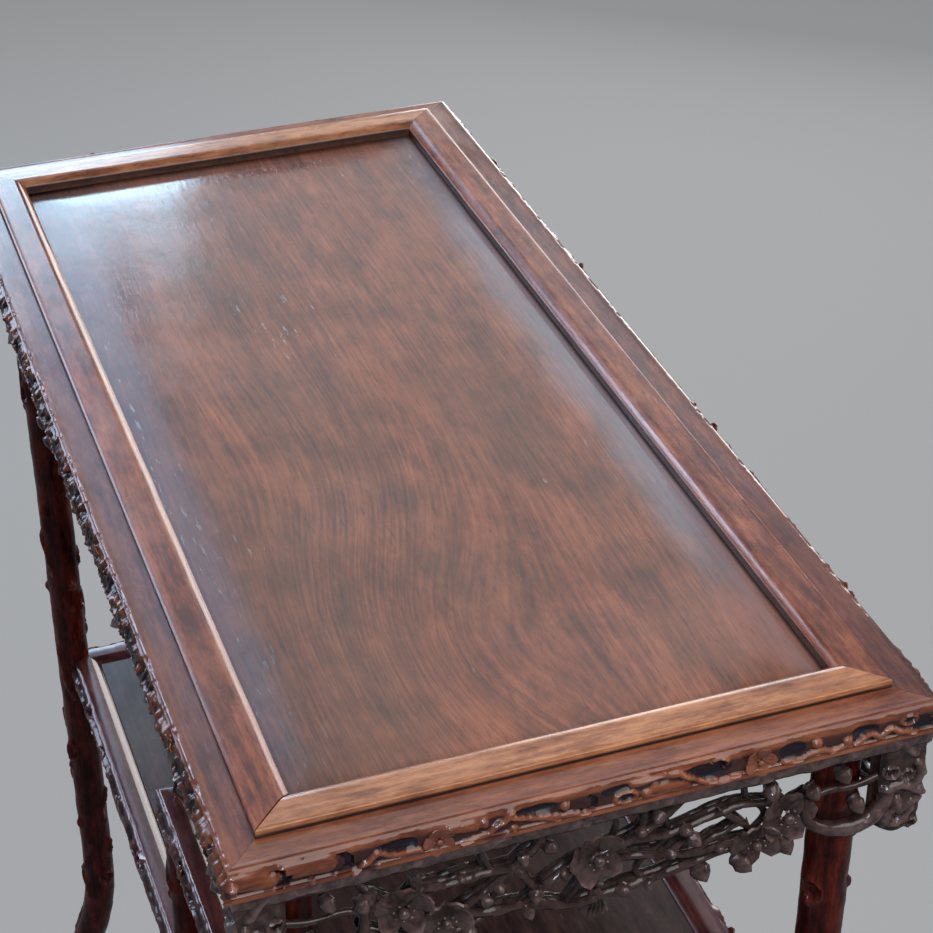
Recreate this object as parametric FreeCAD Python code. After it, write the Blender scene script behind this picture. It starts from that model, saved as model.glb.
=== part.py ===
import FreeCAD, Part
import math
import os

# Three-tier carved hardwood shelf: a full-length top with a raised moulding and pierced prunus aprons,
# a half-length middle shelf on posts, a full-length lower shelf, and round legs with outswept feet.
# Millimetres, +Z up. +X runs along the length towards the end that carries the half shelf, -Y is the front,
# and the origin lies on the floor under the middle of the top.

Vector = FreeCAD.Vector

# Top
top_length = 824.0
top_width = 400.0
top_height = 840.0
top_frame_thickness = 30.0
top_edge_thickness = 20.0
border_width = 22.0
moulding_width = 25.0
moulding_height = 5.0
moulding_inner_round = 4.5
moulding_outer_round = 1.0
top_panel_thickness = 10.0
top_nose_round = 5.0

# Shelves
half_shelf_length = 372.0
half_shelf_height = 544.0
lower_shelf_height = 392.0
shelf_frame_thickness = 22.0
shelf_frame_width = 20.0
shelf_panel_thickness = 8.0
shelf_nose_round = 4.0

# Panels sit in grooves, a little below the frame's upper face
panel_recess = 4.0
panel_gap = 0.4
groove_depth = 6.0
tongue_thickness = 4.0
inner_chamfer = 2.5
nose_bottom_chamfer = 3.5

# Cross battens under the panels
batten_width = 30.0
top_batten_spacing = 274.0
lower_batten_spacing = 248.0
batten_tenon_width = 18.0
batten_tenon_length = 9.0
batten_shoulder = 2.5

# Legs and feet
leg_diameter = 28.0
leg_tenon = 10.0
leg_tenon_length = 14.0
leg_tenon_wall = 2.0
foot_bend_height = 148.0
foot_bend_radius = 260.0
toe_radius = 18.0
toe_height = 16.0
foot_steps = 3

# Posts under the free end of the half shelf
post_diameter = 20.0
post_tenon = 9.0
post_tenon_length = 12.0

# Loose tenons that key the shelf corners into the legs
key_width = 5.0
key_height = 5.0
key_wall = 3.5
key_in_shelf = 9.0

# Pierced aprons under the top, let into a rebate behind the frame's visible edge
apron_setback = 3.0
apron_thickness = 16.0
apron_rail_drop = 12.0
apron_branch_drop = 64.0
apron_tongue = 5.0
apron_tongue_length = 5.0
apron_lattice_setback = 6.5
apron_lattice_thickness = 8.0
branch_width = 5.5
twig_width = 4.0
branch_swag = 5.0
spray_pitch = 112.0
bough_steps = 4

# Solid carved ends of the aprons, each with an oval loop beside it and a bud in the loop
block_width = 29.0
block_drop = 74.0
block_round = 8.0
loop_half_width = 18.0
loop_half_height = 14.0
loop_rim = 6.0
loop_drop = 43.0
loop_bite = 3.0
loop_points = 10

# Layout of one spray, as shares of its half length or along its twigs
falling_start_share = -0.95
falling_end_share = 0.85
rising_start_share = -0.8
rising_crossing_share = -0.1
rising_end_share = 0.9
blossom_share = -0.03
small_blossom_share = 0.78
bud_share = 0.22
drop_bud_share = 0.28

# Blossoms and buds
petals = 5
blossom_radius = 13.0
blossom_turn_angle = 0.2
small_blossom_turn_angle = 1.0
small_blossom_radius = 9.0
petal_waist_share = 0.62
petal_spread_angle = 0.3
petal_rise = 3.0
bud_radius = 5.0
drop_bud_radius = 6.0
bud_points = 5

# Wavy aprons under the shelves
strip_setback = 2.0
strip_thickness = 10.0
strip_drop = 9.0
strip_wave = 9.0
strip_pitch = 90.0
wave_steps = 4

# Low pierced rail along the free end of the half shelf
rail_setback = 3.0
rail_thickness = 6.0
rail_base = 3.0
rail_height = 13.0
rail_bar = 3.0
rail_pitch = 50.0

# Fits
clearance = 0.15
overcut = 1.0

# Sizes worked out from the ones above
top_frame_width = border_width + moulding_width
top_underside = top_height - top_frame_thickness
apron_top = top_height - top_edge_thickness
apron_rebate = apron_setback + apron_thickness + clearance
leg_radius = leg_diameter / 2
leg_inset = top_frame_width - leg_tenon_wall - leg_tenon / 2
leg_x = top_length / 2 - leg_inset
leg_y = top_width / 2 - leg_inset
half_shelf_centre = leg_x - half_shelf_length / 2
strip_height = strip_drop + strip_wave


def box(low, high):
    return Part.makeBox(high[0] - low[0], high[1] - low[1], high[2] - low[2], Vector(*low))


def save(node, shape):
    if shape.Volume < 0:
        shape.reverse()
    shape.exportStep("parts/" + node + ".step")


def line(a, b):
    return Part.makeLine(Vector(*a), Vector(*b))


def arc(a, middle, b):
    return Part.Arc(Vector(*a), Vector(*middle), Vector(*b)).toShape()


def quarter(centre, radius, start, end):
    """Quarter circle in the plane across a rail, from one direction to another."""
    def at(direction):
        return (0, centre[0] + radius * direction[0], centre[1] + radius * direction[1])
    half = math.sqrt(0.5)
    middle = ((start[0] + end[0]) * half, (start[1] + end[1]) * half)
    return arc(at(start), at(middle), at(end))


def closed_face(edges):
    return Part.Face(Part.Wire(Part.__sortEdges__(edges)))


# Rectangular frames. Each side has its own place: local x runs along the side, local y runs inwards.

def frame_sides(centre_x, half_x, half_y, names):
    front, right, back, left = names
    places = [(front, 2 * half_x, centre_x, -half_y, 0),
              (right, 2 * half_y, centre_x + half_x, 0, 90),
              (back, 2 * half_x, centre_x, half_y, 180),
              (left, 2 * half_y, centre_x - half_x, 0, 270)]
    for name, length, x, y, turn in places:
        place = FreeCAD.Placement(Vector(x, y, 0), FreeCAD.Rotation(Vector(0, 0, 1), turn))
        yield name, length, place


def placed(shape, place):
    moved = shape.copy()
    moved.Placement = place.multiply(moved.Placement)
    return moved


def mitred(solid, length, width):
    """Cuts both ends of a side at 45 degrees, so that neighbouring sides meet face to face."""
    reach = width + overcut
    bottom = solid.BoundBox.ZMin - overcut
    top = solid.BoundBox.ZMax + overcut
    for side in (1, -1):
        corner = [(side * (length / 2 + overcut), -overcut),
                  (side * (length / 2 - reach), reach),
                  (side * (length / 2 + overcut), reach)]
        points = [Vector(u, t, bottom) for u, t in corner + corner[:1]]
        wedge = Part.Face(Part.makePolygon(points)).extrude(Vector(0, 0, top - bottom))
        solid = solid.cut(wedge)
    return solid


def groove_heights(upper_face, panel_thickness):
    middle = upper_face - panel_recess - panel_thickness / 2
    return middle - tongue_thickness / 2, middle + tongue_thickness / 2 + clearance


def rail_profile(upper_face, edge, thickness, width, nose, panel_thickness, inner, rebate):
    """Section of a frame rail: rounded nose outside, panel groove inside, chamfered inner edge.

    Behind its visible edge the underside may have a rebate, as wide as the apron that sits in it.
    """
    edge_bottom = upper_face - edge
    bottom = upper_face - thickness
    low, high = groove_heights(upper_face, panel_thickness)
    depth = width - groove_depth
    points = [(0, upper_face - nose), (0, edge_bottom + nose_bottom_chamfer),
              (nose_bottom_chamfer, edge_bottom)]
    if rebate > 0:
        points += [(rebate, edge_bottom), (rebate, bottom)]
    points += [(width, bottom), (width, low), (depth, low), (depth, high), (width, high),
               (width, upper_face - inner)]
    if inner > 0:
        points.append((width - inner, upper_face))
    points.append((nose, upper_face))
    edges = [line((0, *start), (0, *end)) for start, end in zip(points, points[1:])]
    edges.append(quarter((nose, upper_face - nose), nose, (0, 1), (-1, 0)))
    return closed_face(edges)


def frame_rail(profile, length, width):
    bar = profile.extrude(Vector(length, 0, 0))
    bar.translate(Vector(-length / 2, 0, 0))
    return mitred(bar, length, width)


def floating_panel(centre_x, half_x, half_y, upper_face, frame_width, thickness):
    """Panel with a thin tongue all round, resting on the lower cheek of the frame's groove."""
    top = upper_face - panel_recess
    low = groove_heights(upper_face, thickness)[0]

    def slab(margin, bottom, upper):
        x, y = half_x - margin, half_y - margin
        return box((centre_x - x, -y, bottom), (centre_x + x, y, upper))
    body = slab(frame_width + panel_gap, top - thickness, top)
    tongue = slab(frame_width - groove_depth + panel_gap, low, low + tongue_thickness)
    return body.fuse(tongue).removeSplitter()


def batten_sizes(upper_face, frame_thickness, panel_thickness):
    bottom = upper_face - frame_thickness
    top = upper_face - panel_recess - panel_thickness
    return bottom, top


def cross_batten(x, half_y, upper_face, frame_width, frame_thickness, panel_thickness):
    """Batten under a panel, with a tenon into the frame rail at each end."""
    bottom, top = batten_sizes(upper_face, frame_thickness, panel_thickness)
    reach = half_y - frame_width
    body = box((x - batten_width / 2, -reach, bottom), (x + batten_width / 2, reach, top))
    end = reach + batten_tenon_length
    tenon = box((x - batten_tenon_width / 2, -end, bottom + batten_shoulder),
                (x + batten_tenon_width / 2, end, top - batten_shoulder))
    return body.fuse(tenon).removeSplitter()


def batten_mortise(x, half_y, upper_face, frame_width, frame_thickness, panel_thickness):
    bottom, top = batten_sizes(upper_face, frame_thickness, panel_thickness)
    end = half_y - frame_width + batten_tenon_length + clearance
    half = batten_tenon_width / 2 + clearance
    return box((x - half, -end, bottom + batten_shoulder), (x + half, end, top - batten_shoulder + clearance))


# Legs

def leg_places():
    for side, y in (("front", -leg_y), ("back", leg_y)):
        for end, x in (("left", -leg_x), ("right", leg_x)):
            yield side + "_" + end, x, y


def leg_mortises():
    half = leg_tenon / 2 + clearance
    depth = leg_tenon_length + clearance
    boxes = [box((x - half, y - half, top_underside - overcut), (x + half, y + half, top_underside + depth))
             for name, x, y in leg_places()]
    return Part.makeCompound(boxes)


def leg_core():
    """Round leg on the Z axis, straight and then swept outwards along +X, with a spread toe on the floor."""
    def ring(radius, angle, tilt):
        out = foot_bend_radius * (1 - math.cos(angle))
        centre = Vector(out, 0, foot_bend_height - foot_bend_radius * math.sin(angle))
        wire = Part.Wire([Part.makeCircle(radius)])
        wire.Placement = FreeCAD.Placement(centre, FreeCAD.Rotation(Vector(0, 1, 0), -math.degrees(tilt)))
        return wire
    straight = Part.makeCylinder(leg_radius, top_underside - foot_bend_height, Vector(0, 0, foot_bend_height))
    sweep = math.asin((foot_bend_height - toe_height) / foot_bend_radius)
    angles = [sweep * index / foot_steps for index in range(foot_steps + 1)]
    rings = [ring(leg_radius, angle, angle) for angle in angles]
    rings.append(ring(toe_radius, math.asin(foot_bend_height / foot_bend_radius), 0))
    return straight.fuse(Part.makeLoft(rings, True, True)).removeSplitter()


def corner_key(x, y, height, slack):
    """Loose tenon laid along the diagonal of a shelf corner, from the middle of the leg into the mitre."""
    length = leg_radius + clearance + key_in_shelf
    low = (-slack, -key_width / 2 - slack, -key_height / 2 - slack)
    high = (length + slack, key_width / 2 + slack, key_height / 2 + slack)
    inwards = math.degrees(math.atan2(-math.copysign(1, y), -math.copysign(1, x)))
    place = FreeCAD.Placement(Vector(x, y, height), FreeCAD.Rotation(Vector(0, 0, 1), inwards))
    return placed(box(low, high), place)


def key_level(shelf_height):
    return shelf_height - shelf_frame_thickness + key_wall + key_height / 2


def shelf_corners(shelf_height):
    """Leg axes that a shelf meets: all four for the lower shelf, the right-hand pair for the half shelf."""
    return [(x, y) for name, x, y in leg_places() if shelf_height == lower_shelf_height or x > 0]


def make_legs():
    core = leg_core()
    for name, x, y in leg_places():
        turn = math.degrees(math.atan2(math.copysign(1, y), math.copysign(1, x)))
        leg = placed(core, FreeCAD.Placement(Vector(x, y, 0), FreeCAD.Rotation(Vector(0, 0, 1), turn)))
        half = leg_tenon / 2
        end = top_underside + leg_tenon_length
        tenon = box((x - half, y - half, top_underside), (x + half, y + half, end))
        leg = leg.fuse(tenon)
        for height in (half_shelf_height, lower_shelf_height):
            if (x, y) in shelf_corners(height):
                leg = leg.cut(corner_key(x, y, key_level(height), clearance))
        save("leg_" + name, leg)


# Prunus ornament. Outlines are drawn in a plane: u along the apron, v downwards from its upper edge.

def at(u, v):
    return (u, 0, -v)


def outline(points):
    corners = [Vector(*at(u, v)) for u, v in points]
    return Part.Face(Part.makePolygon(corners + corners[:1]))


def bend(start, middle, end):
    """Smooth curve through three points, as a function of its share from 0 to 1."""
    pull = [2 * m - (a + b) / 2 for a, m, b in zip(start, middle, end)]

    def point(share):
        rest = 1 - share
        return tuple(rest * rest * a + 2 * rest * share * p + share * share * b
                     for a, p, b in zip(start, pull, end))
    return point


def beside(curve, share, distance):
    """Point at a distance to one side of a curve."""
    step = 0.01
    (u0, v0), (u1, v1) = curve(share - step), curve(share + step)
    length = math.hypot(u1 - u0, v1 - v0)
    u, v = curve(share)
    return u - distance * (v1 - v0) / length, v + distance * (u1 - u0) / length


def bough(curve, width):
    """Flat bough of constant width along a curve."""
    shares = [index / bough_steps for index in range(bough_steps + 1)]
    one_side = [beside(curve, share, width / 2) for share in shares]
    other_side = [beside(curve, share, -width / 2) for share in reversed(shares)]
    return outline(one_side + other_side)


def oval(u, v, half_width, half_height, points):
    angles = [2 * math.pi * index / points for index in range(points)]
    return outline([(u + half_width * math.cos(angle), v + half_height * math.sin(angle))
                    for angle in angles])


def bud(place, radius):
    return oval(*place, radius, radius, bud_points)


def rectangle(u0, v0, u1, v1):
    return outline([(u0, v0), (u1, v0), (u1, v1), (u0, v1)])


def blossom(u, v, radius, turn):
    """Ring of petals in one outline, each with a waist and two shoulders."""
    step = 2 * math.pi / petals
    points = []
    for petal in range(petals):
        angle = turn + petal * step
        shoulders = ((-petal_spread_angle, 1), (petal_spread_angle, 1))
        for lean, share in ((-step / 2, petal_waist_share), *shoulders):
            out = radius * share
            points.append((u + out * math.sin(angle + lean), v - out * math.cos(angle + lean)))
    return outline(points)


def prism(face, start, depth):
    """Solid from a flat outline, from one distance behind the drawing plane to another."""
    solid = face.extrude(Vector(0, depth, 0))
    solid.translate(Vector(0, start, 0))
    if solid.Volume < 0:
        solid.reverse()
    return solid


def merged(solids):
    return solids[0].multiFuse(solids[1:]).removeSplitter()


def spray(u, pitch, mirror):
    """One stretch of branch with two twigs crossing in a large blossom, a small blossom and buds."""
    half = pitch / 2
    low = apron_branch_drop
    high = apron_rail_drop - twig_width
    middle = (apron_rail_drop + low) / 2

    def point(share, v):
        return u + mirror * share * half, v
    branch = bend(point(-1, low), point(0, low + branch_swag), point(1, low))
    falling = bend(point(falling_start_share, high), point(0, middle), point(falling_end_share, low))
    crossing = point(rising_crossing_share, middle)
    rising = bend(point(rising_start_share, low), crossing, point(rising_end_share, high))
    flats = [bough(branch, branch_width), bough(falling, twig_width), bough(rising, twig_width),
             bud(beside(falling, bud_share, mirror * bud_radius), bud_radius),
             bud(beside(branch, drop_bud_share, mirror * drop_bud_radius), drop_bud_radius),
             blossom(*rising(small_blossom_share), small_blossom_radius, small_blossom_turn_angle * mirror)]
    solids = [prism(flat, apron_lattice_setback, apron_lattice_thickness) for flat in flats]
    large = blossom(*point(blossom_share, middle), blossom_radius, blossom_turn_angle * mirror)
    solids.append(prism(large, apron_lattice_setback - petal_rise, petal_rise + apron_lattice_thickness))
    return solids


def apron_end(length, side):
    """Solid carved end: a block at the corner, and beside it an oval loop with a bud inside."""
    edge = side * length / 2
    inner = edge - side * block_width
    centre = inner - side * (loop_half_width - loop_bite)
    toe = edge - side * block_width / 2
    shoulder = block_drop - block_round
    block = outline([(edge, 0), (inner, 0), (inner, shoulder), (toe, block_drop), (edge, shoulder)])
    ring = oval(centre, loop_drop, loop_half_width + loop_rim, loop_half_height + loop_rim, loop_points)
    hole = oval(centre, loop_drop, loop_half_width, loop_half_height, loop_points)
    hole = prism(hole, -overcut, apron_thickness + 2 * overcut)
    stem = bend((inner, loop_drop - loop_half_height), (inner - side * loop_half_width / 2, loop_drop),
                (centre, loop_drop))
    flats = [bough(stem, twig_width), bud((centre, loop_drop), drop_bud_radius)]
    solids = [prism(block, 0, apron_thickness).cut(hole),
              prism(ring, apron_lattice_setback, apron_lattice_thickness).cut(hole)]
    return solids + [prism(flat, apron_lattice_setback, apron_lattice_thickness) for flat in flats]


def pierced_apron(length):
    """Pierced prunus apron, drawn about the middle of its side with its upper edge at height zero."""
    end_reach = block_width - loop_bite + loop_half_width
    field = length - 2 * end_reach
    count = max(1, round(field / spray_pitch))
    pitch = field / count
    rail = rectangle(-length / 2, 0, length / 2, apron_rail_drop)
    tongue = rectangle(-length / 2, -apron_tongue_length, length / 2, 0)
    solids = [prism(rail, 0, apron_thickness),
              prism(tongue, (apron_thickness - apron_tongue) / 2, apron_tongue)]
    for side in (1, -1):
        solids += apron_end(length, side)
    for index in range(count):
        solids += spray((index - (count - 1) / 2) * pitch, pitch, 1 if index % 2 == 0 else -1)
    return mitred(merged(solids), length, apron_thickness)


def apron_grooves(half_x, half_y):
    """Groove for the aprons' tongues, round the underside of the top frame."""
    start = apron_setback + (apron_thickness - apron_tongue) / 2 - clearance
    wide = apron_tongue + 2 * clearance
    depth = apron_tongue_length + clearance

    def slab(margin):
        x, y = half_x - margin, half_y - margin
        return box((-x, -y, apron_top - overcut), (x, y, apron_top + depth))
    return slab(start).cut(slab(start + wide))


# Top

def make_top():
    half_x, half_y = top_length / 2, top_width / 2
    sizes = (top_height, top_frame_width, top_frame_thickness, top_panel_thickness)
    batten_x = (-top_batten_spacing / 2, top_batten_spacing / 2)
    profile = rail_profile(top_height, top_edge_thickness, top_frame_thickness, top_frame_width,
                           top_nose_round, top_panel_thickness, 0, apron_rebate)
    cuts = [leg_mortises(), apron_grooves(half_x, half_y)]
    cuts += [batten_mortise(x, half_y, *sizes) for x in batten_x]
    names = ("front", "right", "back", "left")
    for name, length, place in frame_sides(0, half_x, half_y, names):
        rail = placed(frame_rail(profile, length, top_frame_width), place)
        for cut in cuts:
            rail = rail.cut(cut)
        save("top_frame_" + name, rail)

    moulding = moulding_profile()
    inner_x, inner_y = half_x - border_width, half_y - border_width
    for name, length, place in frame_sides(0, inner_x, inner_y, names):
        save("top_moulding_" + name, placed(frame_rail(moulding, length, moulding_width), place))

    save("top_panel", floating_panel(0, half_x, half_y, top_height, top_frame_width, top_panel_thickness))
    for name, x in zip(("left", "right"), batten_x):
        save("top_batten_" + name, cross_batten(x, half_y, *sizes))

    aprons = {}
    outer_x, outer_y = half_x - apron_setback, half_y - apron_setback
    for name, length, place in frame_sides(0, outer_x, outer_y, names):
        if length not in aprons:
            aprons[length] = pierced_apron(length)
            aprons[length].translate(Vector(0, 0, apron_top))
        save("top_apron_" + name, placed(aprons[length], place))


def moulding_profile():
    """Flat raised strip laid on the frame: upright outside, rounded over towards the panel."""
    top = top_height + moulding_height
    outer = moulding_outer_round
    inner = moulding_inner_round
    return closed_face([
        line((0, 0, top_height), (0, 0, top - outer)),
        quarter((outer, top - outer), outer, (-1, 0), (0, 1)),
        line((0, outer, top), (0, moulding_width - inner, top)),
        quarter((moulding_width - inner, top - inner), inner, (0, 1), (1, 0)),
        line((0, moulding_width, top - inner), (0, moulding_width, top_height)),
        line((0, moulding_width, top_height), (0, 0, top_height))])


# Half shelf and lower shelf

def wavy_strip(length):
    """Shallow apron with a scalloped lower edge, drawn like the pierced ones."""
    count = max(1, round(length / strip_pitch))
    pitch = length / count
    points = [(-length / 2, 0)]
    for index in range(count):
        start = -length / 2 + index * pitch
        wave = bend((start, strip_drop), (start + pitch / 2, strip_height), (start + pitch, strip_drop))
        points += [wave(step / wave_steps) for step in range(wave_steps)]
    points += [(length / 2, strip_drop), (length / 2, 0)]
    return prism(outline(points), 0, strip_thickness)


def post_places():
    inset = shelf_frame_width / 2
    x = leg_x - half_shelf_length + inset
    return [("front", x, -leg_y + inset), ("back", x, leg_y - inset)]


def post_mortises(bottom, top):
    half = post_tenon / 2 + clearance
    return Part.makeCompound([box((x - half, y - half, bottom), (x + half, y + half, top))
                              for name, x, y in post_places()])


def leg_rooms(shelf_height):
    """Room that the legs take where they pass a shelf and its aprons."""
    bottom = shelf_height - shelf_frame_thickness - strip_height - overcut
    height = shelf_height + overcut - bottom
    radius = leg_radius + clearance
    return [Part.makeCylinder(radius, height, Vector(x, y, bottom)) for x, y in shelf_corners(shelf_height)]


def post_rooms(shelf_bottom):
    """Room that the posts take below the half shelf's frame."""
    height = strip_height + overcut
    radius = post_diameter / 2 + clearance
    bottom = shelf_bottom - height
    return [Part.makeCylinder(radius, height, Vector(x, y, bottom)) for name, x, y in post_places()]


def make_shelf(kind, height, centre_x, half_x, names, batten_x, mortises):
    sizes = (height, shelf_frame_width, shelf_frame_thickness, shelf_panel_thickness)
    bottom = height - shelf_frame_thickness
    corners = shelf_corners(height)
    legs = leg_rooms(height)
    cuts = legs + mortises
    cuts += [corner_key(x, y, key_level(height), clearance) for x, y in corners]
    cuts += [batten_mortise(x, leg_y, *sizes) for x in batten_x]
    profile = rail_profile(height, shelf_frame_thickness, shelf_frame_thickness, shelf_frame_width,
                           shelf_nose_round, shelf_panel_thickness, inner_chamfer, 0)
    for name, length, place in frame_sides(centre_x, half_x, leg_y, names):
        rail = placed(frame_rail(profile, length, shelf_frame_width), place)
        for cut in cuts:
            rail = rail.cut(cut)
        save(kind + "_frame_" + name, rail)

    panel = floating_panel(centre_x, half_x, leg_y, height, shelf_frame_width, shelf_panel_thickness)
    save(kind + "_panel", panel)
    for index, x in enumerate(batten_x):
        suffix = "" if len(batten_x) == 1 else ("_left", "_right")[index]
        save(kind + "_batten" + suffix, cross_batten(x, leg_y, *sizes))

    posts = post_rooms(bottom) if kind == "half_shelf" else []
    outer_x, outer_y = half_x - strip_setback, leg_y - strip_setback
    for name, length, place in frame_sides(centre_x, outer_x, outer_y, names):
        apron = mitred(wavy_strip(length), length, strip_thickness)
        apron.translate(Vector(0, 0, bottom))
        apron = placed(apron, place)
        for upright in legs + posts:
            apron = apron.cut(upright)
        save(kind + "_apron_" + name, Part.makeCompound([largest(apron)]))
    keys = [corner_key(x, y, key_level(height), 0) for x, y in corners]
    save(kind + "_corner_keys", Part.makeCompound(keys))


def largest(shape):
    return max(shape.Solids, key=lambda solid: solid.Volume)


def end_rail():
    """Low pierced rail of looped twigs that stops things sliding off the free end."""
    length = 2 * (leg_y - shelf_frame_width / 2)
    count = max(2, round(length / rail_pitch))
    pitch = length / count
    top = rail_height - rail_bar / 2
    flats = [rectangle(-length / 2, -rail_base, length / 2, 0)]
    for index in range(count):
        start = -length / 2 + (index + 0.5) * pitch - (pitch - rail_bar) / 2
        end = start + pitch - rail_bar
        loop = bend((start, -rail_base / 2), ((start + end) / 2, -top), (end, -rail_base / 2))
        flats.append(bough(loop, rail_bar))
        flats.append(bud(((start + end) / 2, -rail_base - rail_bar / 2), rail_bar))
    return merged([prism(flat, 0, rail_thickness) for flat in flats])


def make_half_shelf():
    bottom = half_shelf_height - shelf_frame_thickness
    depth = post_tenon_length + clearance
    mortises = [post_mortises(bottom - overcut, bottom + depth)]
    names = ("front", "leg_end", "back", "free_end")
    make_shelf("half_shelf", half_shelf_height, half_shelf_centre, half_shelf_length / 2, names,
               [half_shelf_centre], mortises)
    rail = end_rail()
    turned = FreeCAD.Placement(Vector(leg_x - half_shelf_length + rail_setback, 0, half_shelf_height),
                               FreeCAD.Rotation(Vector(0, 0, 1), 270))
    save("half_shelf_end_rail", placed(rail, turned))
    for name, x, y in post_places():
        height = bottom - lower_shelf_height
        shaft = Part.makeCylinder(post_diameter / 2, height, Vector(x, y, lower_shelf_height))
        half = post_tenon / 2
        tenon = box((x - half, y - half, lower_shelf_height - post_tenon_length),
                    (x + half, y + half, bottom + post_tenon_length))
        save("half_shelf_post_" + name, shaft.fuse(tenon).removeSplitter())


def make_lower_shelf():
    depth = post_tenon_length + clearance
    mortises = [post_mortises(lower_shelf_height - depth, lower_shelf_height + overcut)]
    names = ("front", "right", "back", "left")
    batten_x = (-lower_batten_spacing / 2, lower_batten_spacing / 2)
    make_shelf("lower_shelf", lower_shelf_height, 0, leg_x, names, batten_x, mortises)


os.makedirs("parts", exist_ok=True)
make_top()
make_legs()
make_half_shelf()
make_lower_shelf()
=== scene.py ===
import math
import random

import bmesh
import bpy
from mathutils import Euler, Matrix, Vector, noise


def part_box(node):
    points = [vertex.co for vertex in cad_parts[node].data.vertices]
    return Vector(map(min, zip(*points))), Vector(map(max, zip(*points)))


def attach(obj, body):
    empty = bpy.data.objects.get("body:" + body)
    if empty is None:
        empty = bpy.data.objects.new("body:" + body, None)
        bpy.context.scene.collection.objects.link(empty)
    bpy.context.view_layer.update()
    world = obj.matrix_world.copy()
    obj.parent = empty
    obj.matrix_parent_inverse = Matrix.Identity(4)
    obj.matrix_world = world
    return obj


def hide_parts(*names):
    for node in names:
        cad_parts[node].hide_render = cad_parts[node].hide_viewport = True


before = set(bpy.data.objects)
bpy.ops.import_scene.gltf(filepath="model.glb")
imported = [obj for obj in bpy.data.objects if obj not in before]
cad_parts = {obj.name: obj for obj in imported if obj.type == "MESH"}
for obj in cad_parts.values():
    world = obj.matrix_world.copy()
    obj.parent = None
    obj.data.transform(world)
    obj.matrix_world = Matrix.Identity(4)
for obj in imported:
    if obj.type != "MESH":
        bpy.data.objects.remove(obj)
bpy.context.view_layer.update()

scene = bpy.context.scene
scene.view_settings.view_transform = "Standard"
mm = 0.001
sideNames = ("front", "right", "back", "left")

# Local drawing frame of a side, in mm: x or u along it from its middle, y or t inwards from its outer edge,
# z up from the floor. v is a depth below the top's border, drop a depth below a piece's own top.


# camera, floor and lamps

camera = {"place": (1.23172, -0.36184, 1.62648), "look": (-0.7870, 0.2772, -0.5511),
          "right": (0.3343, 0.9425, -0.0034), "lens": 88.88, "sensor": 36.0}


def setCamera():
    data = bpy.data.cameras.new("viewer")
    data.lens = camera["lens"]
    data.sensor_width = camera["sensor"]
    viewer = bpy.data.objects.new("viewer", data)
    look = Vector(camera["look"]).normalized()
    right = Vector(camera["right"]).normalized()
    up = right.cross(look)
    viewer.matrix_world = Matrix((right, up, -look)).transposed().to_4x4()
    viewer.matrix_world.translation = camera["place"]
    scene.collection.objects.link(viewer)
    scene.camera = viewer


lamps = {  # metres, glow is the brightness of the lamp's face
    "farWindow": {"place": (-2.75, 0.13, 1.66), "aim": (-0.35, 0.0, 1.66), "size": (0.64, 0.84),
                  "glow": 11.5, "colour": (0.54, 0.79, 1.0)},
    "farTransom": {"place": (-2.75, 0.16, 2.17), "aim": (-0.35, 0.0, 2.17), "size": (0.6, 0.085),
                   "glow": 4.0, "colour": (0.62, 0.78, 1.0)},
    "leftSky": {"place": (-2.75, -0.70, 2.8), "aim": (-0.1, -0.70, 0.84), "size": (2.0, 1.3),
                "glow": 2.7, "colour": (0.55, 0.72, 1.0)},
    "leftPane": {"place": (-2.1, -1.03, 2.46), "aim": (0.15, 0.15, 0.84), "size": (0.5, 0.7),
                 "glow": 13.0, "colour": (0.74, 0.80, 1.0)},
    "farWall": {"place": (-2.75, 1.05, 3.15), "aim": (0.0, 0.2, 0.84), "size": (1.5, 2.1),
                "glow": 1.1, "colour": (0.90, 0.97, 1.0)},
    "rightSky": {"place": (-2.75, 2.05, 2.85), "aim": (0.0, 2.05, 2.85), "size": (1.0, 2.2),
                 "glow": 0.8, "colour": (0.58, 0.77, 1.0), "roll": 0.6},
    "sideWindow": {"place": (-2.2, 1.5, 1.05), "aim": (0.0, -0.15, 1.05), "size": (1.7, 1.3),
                   "glow": 5.5, "colour": (1.0, 0.99, 0.97)},
    "leftWindow": {"place": (-2.4, -1.7, 1.2), "aim": (0.0, 0.0, 0.9), "size": (1.2, 1.1),
                   "glow": 6.0, "colour": (0.62, 0.77, 1.0)},
    "glint": {"place": (2.0, -0.7, 1.9), "aim": (0.4, 0.0, 0.8), "size": (0.24, 0.24),
              "glow": 62.0, "colour": (0.66, 0.79, 1.0)},
    "overhead": {"place": (1.5, 0.4, 2.7), "aim": (0.1, 0.0, 0.8), "size": (2.0, 2.0),
                 "glow": 2.9, "colour": (1.0, 0.98, 0.95)},
    "warmFill": {"place": (1.3, 2.4, 1.3), "aim": (0.3, 0.1, 0.8), "size": (1.2, 1.0),
                 "glow": 2.0, "colour": (1.0, 0.86, 0.74)}}
room = {"colour": (0.52, 0.68, 1.0, 1), "strength": 0.19, "floorSize": 30,
        "floorPaintedPool": (0.40, 0.40, 0.40, 1), "floorFar": (0.24, 0.24, 0.24, 1), "floorShade": 0.22,
        "floorGleam": 0.3, "floorBounce": (0.10, 0.10, 0.10, 1)}


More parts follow.
